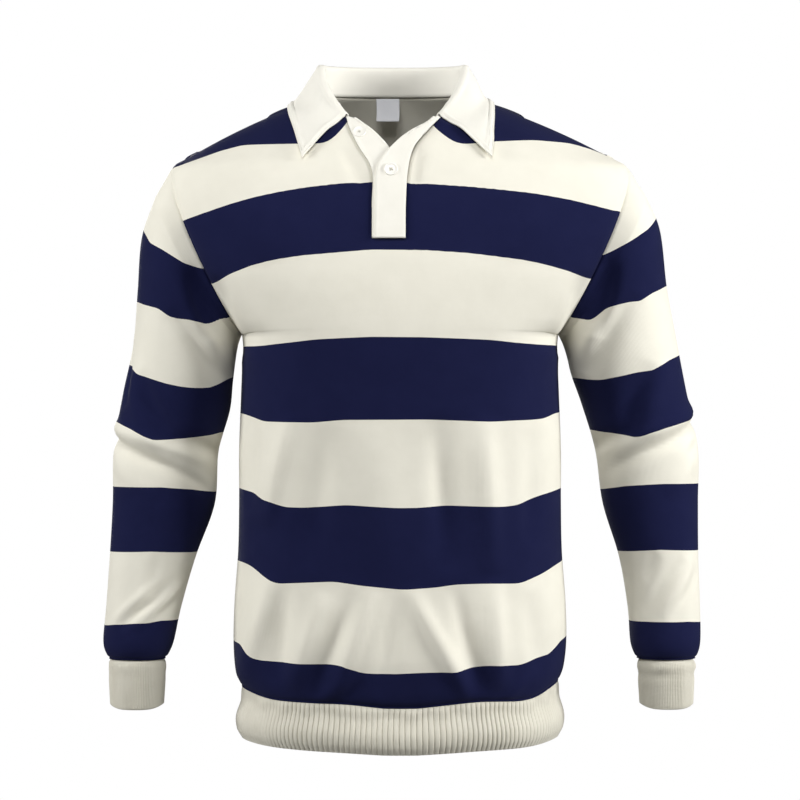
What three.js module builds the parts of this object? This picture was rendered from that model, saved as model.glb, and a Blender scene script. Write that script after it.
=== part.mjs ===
// Long-sleeved rugby shirt, filled out as if worn, with no wearer inside.
// Millimetres, +Z up, the front faces -Y, and +X is the wearer's left.
// The origin is midway between the neck points of the shoulders, where the wearer carries it.
import * as THREE from 'three';
import { mergeVertices } from 'three/addons/utils/BufferGeometryUtils.js';

// Cloth walls and the gap kept at every seam
const jerseyWall = 1.6;
const ribWall = 2.2;
const collarWall = 2.2;
const placketWall = 2.0;
const seamGap = 0.3;

// Body: heights of its main lines, and how square its sections are
const hemCentreZ = -694;
const hemSideZ = -680;
const armpitZ = -288;
const shoulderTip = { x: 249, y: 7, z: -97 };
const armpitX = 176.5;
const armholeReach = 56;
const armholeBow = 15;
const neckPointZ = -20;
const neckPointY = 5;
const shoulderBow = 5;
const sectionPower = 2.25;
const rowsBelowArmpit = 11;
const rowsUpArmhole = 12;
const rowsUp = rowsBelowArmpit + rowsUpArmhole;

// Neck ring: the seam that the collar is sewn to, seen from above
const neck = { centreX: -8, halfWidth: 80, backReach: 53, frontReach: 65, backZ: -18, frontZ: -50 };
const neckFrontAngle = 140;

// Hem band and cuffs: ribs run up and down
const hemRibs = 150;
const hemRibHeight = 1.3;
const cuffRibs = 84;
const cuffRibHeight = 0.7;

// Buttons and neck label
const buttonDiameter = 15;
const buttonThick = 2.4;
const buttonHole = 1.8;
const buttonHoleSpread = 1.9;
const labelWidth = 26;
const labelHeight = 26;
const labelThick = 0.8;
const labelStand = 2;
const labelShift = 6;
const labelTuck = 2;

// Half width of the body at its side seams, from the hem seam up to the armpit
const bodySides = [
  { z: -694, half: 176 },
  { z: -680, half: 178 },
  { z: -664, half: 183 },
  { z: -632, half: 186 },
  { z: -586, half: 185 },
  { z: -530, half: 181 },
  { z: -474, half: 180 },
  { z: -418, half: 180 },
  { z: -362, half: 178 },
  { z: -305, half: 176 },
  { z: -288, half: 176.5 },
];

// How far the centre of the front and of the back stand from the side seams
const bodyDepths = [
  { z: -694, front: 121, back: 108 },
  { z: -676, front: 126, back: 113 },
  { z: -640, front: 130, back: 116 },
  { z: -550, front: 123, back: 108 },
  { z: -450, front: 120, back: 104 },
  { z: -362, front: 123, back: 108 },
  { z: -287, front: 126, back: 115 },
  { z: -230, front: 122, back: 119 },
  { z: -187, front: 114, back: 119 },
  { z: -150, front: 104, back: 115 },
  { z: -112, front: 90, back: 107 },
  { z: -85, front: 76, back: 98 },
  { z: -50, front: 53, back: 80 },
  { z: -18, front: 26, back: 59 },
];

// How far round its section the cloth has turned where it meets the armhole or shoulder seam
const edgeTurns = [
  { z: -288, degrees: 90 },
  { z: -250, degrees: 76 },
  { z: -193, degrees: 64 },
  { z: -130, degrees: 62 },
  { z: -97, degrees: 72 },
  { z: -20, degrees: 74 },
];

// How far from the side seam's plane the cloth would lie at its edge, eased in at the armpit and
// out at the shoulder tip, so that the surface has no crease there
const edgeDepths = [
  { z: -360, depth: 0 },
  { z: -330, depth: 2.5 },
  { z: -305, depth: 9 },
  { z: -288, depth: 18 },
  { z: -270, depth: 31 },
  { z: -250, depth: 44 },
  { z: -230, depth: 53.1 },
  { z: -210, depth: 55.9 },
  { z: -190, depth: 55.9 },
  { z: -170, depth: 53.4 },
  { z: -150, depth: 48.4 },
  { z: -130, depth: 40.1 },
  { z: -115, depth: 30.6 },
  { z: -105, depth: 20.8 },
  { z: -97, depth: 9 },
  { z: -90, depth: 3 },
  { z: -83, depth: 0 },
];

// The slit edges that carry the plackets; the right one is the wearer's right
const slitEdges = [
  { z: -187.5, right: -30.8, left: 5.9 },
  { z: -150, right: -30.8, left: 6.2 },
  { z: -112, right: -31, left: 8.7 },
  { z: -85, right: -45.5, left: 15.8 },
  { z: -64, right: -55.5, left: 31.8 },
  { z: -50, right: -59.4, left: 43.4 },
];
const slitFirstRow = rowsBelowArmpit + 3;
const slitLastRow = slitFirstRow + slitEdges.length - 1;
const centreDriftX = -12;

// Soft drapes of the lower body: a ridge is a positive depth, a trough a negative one
const bodyDrapes = [
  { side: 'front', topX: -118, topZ: -380, lowX: -150, lowZ: -640, width: 22, depth: 4.5 },
  { side: 'front', topX: -92, topZ: -440, lowX: -104, lowZ: -620, width: 17, depth: -4.5 },
  { side: 'front', topX: -55, topZ: -520, lowX: -68, lowZ: -670, width: 20, depth: 3.5 },
  { side: 'front', topX: 6, topZ: -360, lowX: 24, lowZ: -670, width: 34, depth: 3 },
  { side: 'front', topX: 62, topZ: -400, lowX: 86, lowZ: -670, width: 18, depth: -4 },
  { side: 'front', topX: 104, topZ: -400, lowX: 108, lowZ: -650, width: 18, depth: 4.5 },
  { side: 'front', topX: 132, topZ: -440, lowX: 136, lowZ: -620, width: 15, depth: -3 },
  { side: 'back', topX: -110, topZ: -360, lowX: -128, lowZ: -650, width: 24, depth: 4.5 },
  { side: 'back', topX: -66, topZ: -430, lowX: -84, lowZ: -660, width: 18, depth: -4 },
  { side: 'back', topX: -24, topZ: -330, lowX: -14, lowZ: -670, width: 30, depth: 4 },
  { side: 'back', topX: 34, topZ: -400, lowX: 46, lowZ: -650, width: 18, depth: -4.5 },
  { side: 'back', topX: 88, topZ: -380, lowX: 112, lowZ: -660, width: 24, depth: 4.5 },
];

// Sleeve sections from below the armhole to the cuff seam: the outer and inner edge of each,
// half its depth, the place of its middle from front to back, and how far its flanks bow out
const sleeveSections = {
  right: [
    { outerX: -272, outerZ: -134, innerX: -179, innerZ: -293, depth: 60, middleY: 3, bow: 11 },
    { outerX: -288.5, outerZ: -180, innerX: -181.5, innerZ: -301, depth: 62, middleY: 3, bow: 5 },
    { outerX: -294, outerZ: -240, innerX: -184.5, innerZ: -318, depth: 61, middleY: 4, bow: 0 },
    { outerX: -298.5, outerZ: -295, innerX: -187.5, innerZ: -342, depth: 59, middleY: 5, bow: 0 },
    { outerX: -311, outerZ: -357, innerX: -191, innerZ: -374, depth: 57, middleY: 6, bow: 0 },
    { outerX: -321, outerZ: -418, innerX: -203.5, innerZ: -420, depth: 54, middleY: 5, bow: 0 },
    { outerX: -321.5, outerZ: -475, innerX: -207.5, innerZ: -478, depth: 50, middleY: 0, bow: 0 },
    { outerX: -324, outerZ: -535, innerX: -228, innerZ: -536, depth: 46, middleY: -8, bow: 0 },
    { outerX: -327, outerZ: -590, innerX: -243.5, innerZ: -591, depth: 42, middleY: -17, bow: 0 },
    { outerX: -329.5, outerZ: -630, innerX: -251.5, innerZ: -630, depth: 39, middleY: -25, bow: 0 },
    { outerX: -323.5, outerZ: -648.5, innerX: -259.5, innerZ: -648.5, depth: 31, middleY: -28, bow: 0 },
  ],
  left: [
    { outerX: 273, outerZ: -132, innerX: 179.5, innerZ: -293, depth: 60, middleY: 3, bow: 11 },
    { outerX: 290.5, outerZ: -172, innerX: 183, innerZ: -301, depth: 62, middleY: 3, bow: 5 },
    { outerX: 299, outerZ: -236, innerX: 187.5, innerZ: -315, depth: 61, middleY: 4, bow: 0 },
    { outerX: 309, outerZ: -290, innerX: 192.5, innerZ: -335, depth: 59, middleY: 5, bow: 0 },
    { outerX: 321, outerZ: -352, innerX: 204, innerZ: -367, depth: 57, middleY: 6, bow: 0 },
    { outerX: 334, outerZ: -416, innerX: 219, innerZ: -418, depth: 54, middleY: 5, bow: 0 },
    { outerX: 333.5, outerZ: -475, innerX: 227, innerZ: -477, depth: 50, middleY: 0, bow: 0 },
    { outerX: 333, outerZ: -535, innerX: 244.5, innerZ: -536, depth: 46, middleY: -8, bow: 0 },
    { outerX: 334, outerZ: -590, innerX: 253.5, innerZ: -591, depth: 42, middleY: -17, bow: 0 },
    { outerX: 333.5, outerZ: -630, innerX: 256, innerZ: -630, depth: 39, middleY: -25, bow: 0 },
    { outerX: 328.5, outerZ: -648, innerX: 262, innerZ: -648, depth: 31.5, middleY: -28, bow: 0 },
  ],
};
const sleeveRings = 18;

// Folds of the sleeves, by height and by degrees round from the outer edge over the front
const sleeveFolds = [
  { z: -262, degrees: 150, slant: 0.5, width: 9, spread: 34, depth: -4 },
  { z: -365, degrees: 75, slant: 0.45, width: 14, spread: 55, depth: -3.5 },
  { z: -404, degrees: 110, slant: 0.1, width: 12, spread: 60, depth: 4 },
  { z: -432, degrees: 90, slant: 0.1, width: 11, spread: 70, depth: -5 },
  { z: -560, degrees: 120, slant: -0.5, width: 14, spread: 45, depth: -3.5 },
  { z: -590, degrees: 80, slant: -0.5, width: 14, spread: 50, depth: 3 },
  { z: -300, degrees: 235, slant: -0.4, width: 14, spread: 45, depth: -4 },
  { z: -425, degrees: 270, slant: 0, width: 14, spread: 60, depth: -4 },
  { z: -570, degrees: 260, slant: 0.4, width: 14, spread: 45, depth: -3 },
];

// Cuffs: their sections from the seam down
const cuffSections = {
  right: { middleX: -291.5, topZ: -649, bottomZ: -702, middleY: -28, lean: -4 },
  left: { middleX: 295.3, topZ: -648.5, bottomZ: -701.5, middleY: -28, lean: -4 },
};
const cuffProfile = [
  { down: 0, halfX: 31.8, halfY: 30.8 },
  { down: 0.35, halfX: 31.2, halfY: 30.6 },
  { down: 1, halfX: 29.4, halfY: 29 },
];

// Hem band: how far each level stands out from the seam line, from the seam down
const hemProfile = [
  { down: 0, out: 0 },
  { down: 0.22, out: 1 },
  { down: 0.62, out: 6 },
  { down: 0.88, out: 4 },
  { down: 1, out: -1 },
];
const hemHeight = 50;
const hemSideHeight = 56;
const hemLevels = 3;

// Collar, by degrees round the neck from the centre of the back: the height of its stand, and
// the lower edge of its leaf
const collarStations = [
  { degrees: 0, stand: 33, edgeMiddleX: -8, edgeX: 0, edgeY: 84, edgeZ: -35 },
  { degrees: 35, stand: 33, edgeMiddleX: -9, edgeX: 58, edgeY: 73, edgeZ: -36 },
  { degrees: 65, stand: 33, edgeMiddleX: -10, edgeX: 99, edgeY: 40, edgeZ: -38 },
  { degrees: 90, stand: 32, edgeMiddleX: -11, edgeX: 115, edgeY: 2, edgeZ: -43 },
  { degrees: 105, stand: 24.5, edgeMiddleX: -10, edgeX: 116, edgeY: -20, edgeZ: -54 },
  { degrees: 120, stand: 16, edgeMiddleX: -7, edgeX: 112, edgeY: -42, edgeZ: -70 },
  { degrees: 131, stand: 9, edgeMiddleX: -5, edgeX: 107, edgeY: -57, edgeZ: -85 },
  { degrees: 140, stand: 3.4, edgeMiddleX: -3.3, edgeX: 103, edgeY: -70, edgeZ: -99 },
];
const collarStrips = 30;
const foldRadius = 3.2;
const leafParts = [0.16, 0.4, 0.7, 1];
const leafClearance = 2.4;

// Plackets: the free edge of each, level with the rows of the slit
const overFreeEdge = [
  { x: -28, z: -187.5 },
  { x: -27.2, z: -150 },
  { x: -25.8, z: -113 },
  { x: -17.5, z: -95 },
  { x: 3.2, z: -73 },
  { x: 14.4, z: -62.5 },
];
const underFreeEdge = [
  { x: 4.4, z: -187.5 },
  { x: 4.4, z: -150 },
  { x: 5, z: -114 },
  { x: -11.5, z: -86.5 },
  { x: -24, z: -70.5 },
  { x: -34, z: -62.5 },
];
const overProud = 1.7;
const underProud = -1.1;
const placketTopDrop = 1.2;
const seamInset = 0.6;

// Places of the buttons on the chest
const lowButton = { x: -9.8, z: -112.5 };
const topButton = { x: -44.4, z: -68 };
const buttonStand = 0.6;

// Smooth value of one column of a table, read at any place along its key column
function readTable(table, key, place, column) {
  const rising = table[0][key] < table[table.length - 1][key];
  const rows = rising ? table : [...table].reverse();
  const last = rows.length - 1;
  if (place <= rows[0][key]) return rows[0][column];
  if (place >= rows[last][key]) return rows[last][column];
  let at = 0;
  while (rows[at + 1][key] < place) at += 1;
  const slope = (low, high) => (rows[high][column] - rows[low][column]) / (rows[high][key] - rows[low][key]);
  const span = rows[at + 1][key] - rows[at][key];
  const share = (place - rows[at][key]) / span;
  const leaving = slope(Math.max(at - 1, 0), at + 1) * span;
  const arriving = slope(at, Math.min(at + 2, last)) * span;
  const a = rows[at][column];
  const b = rows[at + 1][column];
  const squared = share * share;
  const cubed = squared * share;
  return a * (2 * cubed - 3 * squared + 1) + leaving * (cubed - 2 * squared + share)
    + b * (3 * squared - 2 * cubed) + arriving * (cubed - squared);
}

const lerp = THREE.MathUtils.lerp;
const radians = THREE.MathUtils.degToRad;
const bell = (distance, width) => Math.exp(-((distance / width) ** 2));

// The outer points and outward directions of the body's panels, which the collar lies over
const bodySurface = [];

// A closed wall of cloth: the faces give its outer side, and each point is copied inwards
function wallGeometry(points, faces, wall, seamNormals = new Map(), surface = null) {
  const normals = points.map(() => new THREE.Vector3());
  const across = new THREE.Vector3();
  const along = new THREE.Vector3();
  for (const [a, b, c, d] of faces) {
    across.subVectors(points[c], points[a]);
    along.subVectors(points[d], points[b]);
    across.cross(along);
    for (const corner of [a, b, c, d]) normals[corner].add(across);
  }
  seamNormals.forEach((normal, index) => normals[index].copy(normal));
  const count = points.length;
  const inner = points.map((point, index) => point.clone().addScaledVector(normals[index].normalize(), -wall));
  if (surface) points.forEach((point, index) => surface.push({ point, normal: normals[index] }));
  const edges = new Set();
  const triangles = [];
  for (const [a, b, c, d] of faces) {
    triangles.push(a, b, c, a, c, d);
    triangles.push(a + count, c + count, b + count, a + count, d + count, c + count);
    for (const [from, to] of [[a, b], [b, c], [c, d], [d, a]]) edges.add(`${from},${to}`);
  }
  for (const edge of edges) {
    const [from, to] = edge.split(',').map(Number);
    if (edges.has(`${to},${from}`)) continue;
    triangles.push(to, from, from + count, to, from + count, to + count);
  }
  return indexedGeometry([...points, ...inner], triangles);
}

function indexedGeometry(points, triangles) {
  const geometry = new THREE.BufferGeometry().setFromPoints(points);
  geometry.setIndex(triangles);
  geometry.computeVertexNormals();
  return geometry;
}

// The armhole seam, for a share of its height from the armpit to the shoulder tip
function armholePoint(side, face, share) {
  const lean = 2 * share - 1;
  const round = Math.sqrt(Math.max(0, 1 - lean * lean));
  const bow = armholeBow * round * (0.6 + 0.8 * share);
  const x = lerp(armpitX, shoulderTip.x, share) + bow;
  const y = lerp(0, shoulderTip.y, share) + face * armholeReach * round * (1.08 - 0.16 * share);
  return new THREE.Vector3(side * x, y, lerp(armpitZ, shoulderTip.z, share));
}

const armholeShare = (angle) => (1 + Math.cos(angle)) / 2;

// The edge that the front or the back reaches at a height: side seam, armhole or shoulder seam
function bodyEdge(face, x, z) {
  const depth = face * readTable(edgeDepths, 'z', z, 'depth');
  if (z <= armpitZ) return { x: readTable(bodySides, 'z', z, 'half'), y: depth };
  if (z <= shoulderTip.z) {
    const up = (z - armpitZ) / (shoulderTip.z - armpitZ);
    return { x: armholePoint(1, face, up).x, y: shoulderTip.y * up + depth };
  }
  const rise = neckPointZ - shoulderTip.z;
  const straight = Math.min(1, (z - shoulderTip.z) / rise);
  const share = Math.max(0, straight - shoulderBow * Math.sin(Math.PI * straight) / rise);
  const neckX = neck.halfWidth + Math.sign(x) * neck.centreX;
  return { x: lerp(shoulderTip.x, neckX, share), y: lerp(shoulderTip.y, neckPointY, share) + depth };
}

// Soft ridges and troughs of the lower body, which fade out at their ends
function drapeAt(face, x, z) {
  let sum = 0;
  for (const drape of bodyDrapes) {
    if ((drape.side === 'front') !== face < 0) continue;
    const down = (drape.topZ - z) / (drape.topZ - drape.lowZ);
    if (down <= 0 || down >= 1.12) continue;
    const fade = Math.sin(Math.PI * Math.min(down / 1.12, 1)) ** 0.7;
    sum += drape.depth * fade * bell(x - lerp(drape.topX, drape.lowX, down), drape.width);
  }
  return sum;
}

// How far forward or back the body's surface lies at any place across and up it
function bodyY(face, x, z) {
  const edge = bodyEdge(face, x, z);
  const centre = face * readTable(bodyDepths, 'z', z, face < 0 ? 'front' : 'back');
  const turn = radians(readTable(edgeTurns, 'z', z, 'degrees'));
  const share = Math.min(1, Math.abs(x) / edge.x);
  const angle = Math.asin(Math.min(1, share ** (sectionPower / 2) * Math.sin(turn)));
  const left = Math.max(0, (Math.cos(angle) - Math.cos(turn)) / (1 - Math.cos(turn)));
  const fall = 1 - left ** (2 / sectionPower);
  const drape = face * drapeAt(face, x, z) * (1 - fall);
  return lerp(centre, edge.y, fall) + drape;
}

// The neck seam, by degrees round it from the centre of the back
function neckPoint(degrees) {
  const angle = radians(degrees);
  const forward = Math.max(0, -Math.cos(angle)) / -Math.cos(radians(neckFrontAngle));
  const x = neck.centreX + neck.halfWidth * Math.sin(angle);
  const reach = Math.cos(angle) > 0 ? neck.backReach : neck.frontReach;
  const level = lerp(neck.backZ, neckPointZ, Math.sin(angle) ** 2);
  const z = forward > 0 ? neckPointZ + (neck.frontZ - neckPointZ) * forward ** 1.3 : level;
  return new THREE.Vector3(x, neckPointY + reach * Math.cos(angle), z);
}

// The inner edge of half a front: beside the centre, up the slit, then round the neck
function frontInner(side, row) {
  const key = side < 0 ? 'right' : 'left';
  if (row >= slitLastRow) {
    const share = (row - slitLastRow) / (rowsUp - slitLastRow);
    return neckPoint(side * lerp(neckFrontAngle, 90, share));
  }
  if (row >= slitFirstRow) {
    const edge = slitEdges[row - slitFirstRow];
    return new THREE.Vector3(edge[key], bodyY(-1, edge[key], edge.z), edge.z);
  }
  const z = innerHeight(row, slitFirstRow, slitEdges[0].z);
  const drift = Math.max(0, (z - hemCentreZ) / (slitEdges[0].z - hemCentreZ));
  const half = (slitEdges[0].left - slitEdges[0].right) / 2;
  const x = centreDriftX * drift + side * half;
  return new THREE.Vector3(x, bodyY(-1, x, z), z);
}

// The centre of the back, then the back of the neck
function backInner(side, row, centreRows) {
  if (row >= centreRows) {
    const share = (row - centreRows) / (rowsUp - centreRows);
    return neckPoint(side * lerp(0, 90, share));
  }
  const z = innerHeight(row, centreRows, neck.backZ);
  const x = neck.centreX * Math.max(0, (z - armpitZ) / (neck.backZ - armpitZ));
  return new THREE.Vector3(x, bodyY(1, x, z), z);
}

const lowRowShare = (row) => (row / rowsBelowArmpit) ** 1.2;

function innerHeight(row, topRow, topZ) {
  if (row <= rowsBelowArmpit) return lerp(hemCentreZ, armpitZ, lowRowShare(row));
  return lerp(armpitZ, topZ, (row - rowsBelowArmpit) / (topRow - rowsBelowArmpit));
}

// The outer edge of half a panel: up the side seam, then up the armhole
function panelOuter(side, face, row) {
  if (row <= rowsBelowArmpit) {
    const z = lerp(hemSideZ, armpitZ, lowRowShare(row));
    return new THREE.Vector3(side * readTable(bodySides, 'z', z, 'half'), 0, z);
  }
  const angle = Math.PI * (1 - (row - rowsBelowArmpit) / rowsUpArmhole);
  return armholePoint(side, face, armholeShare(angle));
}

// One point of a panel: its row runs from the inner edge to the outer edge over the body's surface
function panelPoint(side, face, row, share, innerPoint) {
  const outer = panelOuter(side, face, row);
  const inner = innerPoint;
  const turn = row <= rowsBelowArmpit ? 90 : lerp(80, 40, (row - rowsBelowArmpit) / rowsUpArmhole);
  const spacing = Math.sin(radians(turn * share)) / Math.sin(radians(turn));
  const x = lerp(inner.x, outer.x, spacing);
  const bow = shoulderBow * Math.sin(Math.PI * spacing) * Math.max(0, (row - rowsUp + 3) / 3);
  const z = lerp(inner.z, outer.z, spacing) + bow;
  const innerMiss = inner.y - bodyY(face, inner.x, inner.z);
  const outerMiss = outer.y - bodyY(face, outer.x, outer.z);
  const surface = bodyY(face, x, z) + innerMiss * (1 - spacing) ** 3 + outerMiss * spacing ** 8;
  if (row === rowsUp) return new THREE.Vector3(x, lerp(inner.y, outer.y, spacing) + face * seamGap / 2, z);
  return new THREE.Vector3(x, surface + (share === 1 ? face * seamGap / 2 : 0), z);
}

// Outward directions shared by both pieces that meet at a seam
function panelSeamNormal(side, face, row, column, columns, point) {
  if (column === columns && row > rowsBelowArmpit) return armholeNormal(side, point);
  if (row === rowsUp) {
    const slope = Math.atan2(neckPointZ - shoulderTip.z, shoulderTip.x - neck.halfWidth);
    return new THREE.Vector3(side * Math.sin(slope), 0, Math.cos(slope));
  }
  if (column === columns) return new THREE.Vector3(side, 0, 0);
  if (row === 0) return hemNormal(point);
  if (face < 0 && column === 0 && row >= slitFirstRow && row <= slitLastRow) return new THREE.Vector3(0, -1, 0);
  return null;
}

function armholeNormal(side, point) {
  const middle = armholePoint(side, -1, 0.5);
  middle.y = shoulderTip.y / 2;
  return new THREE.Vector3().subVectors(point, middle).setX(side * 6).normalize();
}

function hemNormal(point) {
  return new THREE.Vector3(point.x / armpitX ** 2, point.y / bodyDepths[0].front ** 2, 0).normalize();
}

// A panel is two halves that share their centre line; the front has a strip between them that
// ends at the foot of the slit
function bodyPanel(face) {
  const columns = face < 0 ? 11 : 10;
  const centreRows = face < 0 ? slitFirstRow : rowsBelowArmpit + 8;
  const points = [];
  const faces = [];
  const seamNormals = new Map();
  const numbers = new Map();
  const add = (key, point, normal) => {
    if (numbers.has(key)) return;
    numbers.set(key, points.length);
    if (normal) seamNormals.set(points.length, normal);
    points.push(point);
  };
  const nameOf = (side, row, column) => {
    if (face > 0 && column === 0 && row <= centreRows) return `centre,${row}`;
    return `${side},${row},${column}`;
  };
  for (const side of [-1, 1]) {
    for (let row = 0; row <= rowsUp; row += 1) {
      const inner = face < 0 ? frontInner(side, row) : backInner(side, row, centreRows);
      for (let column = 0; column <= columns; column += 1) {
        const point = panelPoint(side, face, row, column / columns, inner);
        add(nameOf(side, row, column), point, panelSeamNormal(side, face, row, column, columns, point));
      }
    }
  }
  const quad = (corners, flipped) => {
    const found = corners.map((key) => numbers.get(key));
    faces.push(flipped ? found.reverse() : found);
  };
  for (const side of [-1, 1]) {
    for (let row = 0; row < rowsUp; row += 1) {
      for (let column = 0; column < columns; column += 1) {
        const corners = [nameOf(side, row, column), nameOf(side, row + 1, column),
          nameOf(side, row + 1, column + 1), nameOf(side, row, column + 1)];
        quad(corners, side * face < 0);
      }
    }
  }
  if (face < 0) {
    for (let row = 0; row <= centreRows; row += 1) {
      const middle = frontInner(-1, row).add(frontInner(1, row)).multiplyScalar(0.5);
      middle.y = bodyY(face, middle.x, middle.z);
      add(`centre,${row}`, middle, row === 0 ? hemNormal(middle) : null);
    }
    for (let row = 0; row < centreRows; row += 1) {
      for (const side of [-1, 1]) {
        const corners = [`centre,${row}`, `centre,${row + 1}`, nameOf(side, row + 1, 0), nameOf(side, row, 0)];
        quad(corners, side * face < 0);
      }
    }
  }
  return wallGeometry(points, faces, jerseyWall, seamNormals, bodySurface);
}

// A fold of a sleeve, at a height and at degrees round from the outer edge over the front
function sleeveFoldAt(z, degrees) {
  let sum = 0;
  for (const fold of sleeveFolds) {
    const away = degrees - fold.degrees;
    sum += fold.depth * bell(away, fold.spread) * bell(z - fold.z - fold.slant * away, fold.width);
  }
  return sum;
}

function sleeve(name) {
  const side = name === 'right' ? -1 : 1;
  const table = sleeveSections[name].map((row, index) => ({ ...row, at: index + 1 }));
  const columns = 2 * rowsUpArmhole;
  const points = [];
  const faces = [];
  const seamNormals = new Map();
  const plane = new THREE.Vector3(side * (shoulderTip.z - armpitZ), 0, -(shoulderTip.x - armpitX)).normalize();
  for (let ring = 0; ring <= sleeveRings; ring += 1) {
    const at = ring / sleeveRings * table.length;
    const read = (column) => readTable(table, 'at', at, column);
    for (let column = 0; column < columns; column += 1) {
      const angle = 2 * Math.PI * column / columns;
      const armhole = armholePoint(side, angle <= Math.PI ? -1 : 1, armholeShare(angle));
      const middle = new THREE.Vector3((read('outerX') + read('innerX')) / 2, read('middleY'),
        (read('outerZ') + read('innerZ')) / 2);
      const reach = new THREE.Vector3((read('outerX') - read('innerX')) / 2, 0,
        (read('outerZ') - read('innerZ')) / 2);
      const fold = sleeveFoldAt(middle.z, angle * 180 / Math.PI) * Math.min(1, ring / 4);
      const width = 1 + fold / reach.length();
      const point = middle.clone().addScaledVector(reach, Math.cos(angle) * width);
      point.y -= Math.sin(angle) * (read('depth') + fold);
      point.x += side * read('bow') * Math.abs(Math.sin(angle));
      if (at < 1) point.lerp(armhole.clone().addScaledVector(plane, seamGap + 0.1), 1 - at);
      if (ring === 0) seamNormals.set(points.length, armholeNormal(side, armhole));
      if (ring === sleeveRings) {
        seamNormals.set(points.length, new THREE.Vector3(side * Math.cos(angle), -Math.sin(angle), 0));
      }
      points.push(point);
    }
  }
  for (let ring = 0; ring < sleeveRings; ring += 1) {
    for (let column = 0; column < columns; column += 1) {
      const next = (column + 1) % columns;
      const corners = [ring * columns + column, (ring + 1) * columns + column,
        (ring + 1) * columns + next, ring * columns + next];
      faces.push(side < 0 ? corners : corners.reverse());
    }
  }
  return wallGeometry(points, faces, jerseyWall, seamNormals);
}

// A rib-knit tube: ribs are raised in its outer points, and its inside is plain.
// levelAt gives the point and outward direction at a share round it and a share down it.
function ribbedTube(levelAt, levels, ribs, ribHeight, wall) {
  const points = [];
  const triangles = [];
  const outerRing = 2 * ribs;
  for (let level = 0; level <= levels; level += 1) {
    const fade = level === 0 || level === levels ? 0.6 : 1;
    for (let step = 0; step < outerRing; step += 1) {
      const { point, normal } = levelAt(step / outerRing, level / levels);
      points.push(point.addScaledVector(normal, step % 2 === 1 ? ribHeight * fade : 0));
    }
  }
  const innerStart = points.length;
  for (let level = 0; level <= levels; level += 1) {
    for (let rib = 0; rib < ribs; rib += 1) {
      const { point, normal } = levelAt(rib / ribs, level / levels);
      points.push(point.addScaledVector(normal, -wall));
    }
  }
  const outer = (level, step) => level * outerRing + (step % outerRing);
  const inner = (level, rib) => innerStart + level * ribs + (rib % ribs);
  for (let level = 0; level < levels; level += 1) {
    for (let step = 0; step < outerRing; step += 1) {
      const [a, b] = [outer(level, step), outer(level + 1, step)];
      const [c, d] = [outer(level + 1, step + 1), outer(level, step + 1)];
      triangles.push(a, b, c, a, c, d);
    }
    for (let rib = 0; rib < ribs; rib += 1) {
      const [a, b] = [inner(level, rib + 1), inner(level + 1, rib + 1)];
      const [c, d] = [inner(level + 1, rib), inner(level, rib)];
      triangles.push(a, b, c, a, c, d);
    }
  }
  for (let rib = 0; rib < ribs; rib += 1) {
    const top = [outer(0, 2 * rib), outer(0, 2 * rib + 1), outer(0, 2 * rib + 2), inner(0, rib), inner(0, rib + 1)];
    triangles.push(top[0], top[1], top[3], top[1], top[4], top[3], top[1], top[2], top[4]);
    const low = [outer(levels, 2 * rib), outer(levels, 2 * rib + 1), outer(levels, 2 * rib + 2),
      inner(levels, rib), inner(levels, rib + 1)];
    triangles.push(low[1], low[0], low[3], low[1], low[3], low[4], low[2], low[1], low[4]);
  }
  return indexedGeometry(points, triangles);
}

// The hem band hangs from the hem seam and bulges below it
function hemBand() {
  const half = (slitEdges[0].left - slitEdges[0].right) / 2;
  const levelAt = (round, down) => {
    const angle = 2 * Math.PI * round;
    const face = Math.sin(angle) < 0 ? -1 : 1;
    const reach = readTable(bodySides, 'z', hemSideZ, 'half');
    const x = reach * Math.cos(angle);
    const inward = face < 0 ? half : 0;
    const share = Math.max(0, (Math.abs(x) - inward) / (reach - inward));
    const seamZ = lerp(hemCentreZ, hemSideZ, share);
    const y = bodyY(face, x, seamZ);
    const height = lerp(hemHeight, hemSideHeight, share);
    const normal = hemNormal(new THREE.Vector3(x, y, 0));
    const point = new THREE.Vector3(x, y, seamZ - seamGap - 0.2 - height * down);
    point.addScaledVector(normal, readTable(hemProfile, 'down', down, 'out'));
    return { point, normal };
  };
  return ribbedTube(levelAt, hemLevels, hemRibs, hemRibHeight, ribWall);
}

function cuff(name) {
  const section = cuffSections[name];
  const levelAt = (round, down) => {
    const angle = 2 * Math.PI * round;
    const normal = new THREE.Vector3(Math.cos(angle), Math.sin(angle), 0);
    const x = section.middleX + readTable(cuffProfile, 'down', down, 'halfX') * normal.x;
    const y = section.middleY + section.lean * down + readTable(cuffProfile, 'down', down, 'halfY') * normal.y;
    const point = new THREE.Vector3(x, y, lerp(section.topZ, section.bottomZ, down));
    return { point, normal };
  };
  return ribbedTube(levelAt, 2, cuffRibs, cuffRibHeight, ribWall);
}

// Moves a point along the nearest outward direction of the body's cloth until it is at least
// the given distance off it
function keepOff(point, distance) {
  for (let pass = 0; pass < 3; pass += 1) {
    let nearest = null;
    let shortest = Infinity;
    for (const spot of bodySurface) {
      const length = spot.point.distanceToSquared(point);
      if (length < shortest) [shortest, nearest] = [length, spot];
    }
    const away = nearest.normal.dot(new THREE.Vector3().subVectors(point, nearest.point));
    if (away < distance) point.addScaledVector(nearest.normal, distance - away);
  }
}

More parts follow.
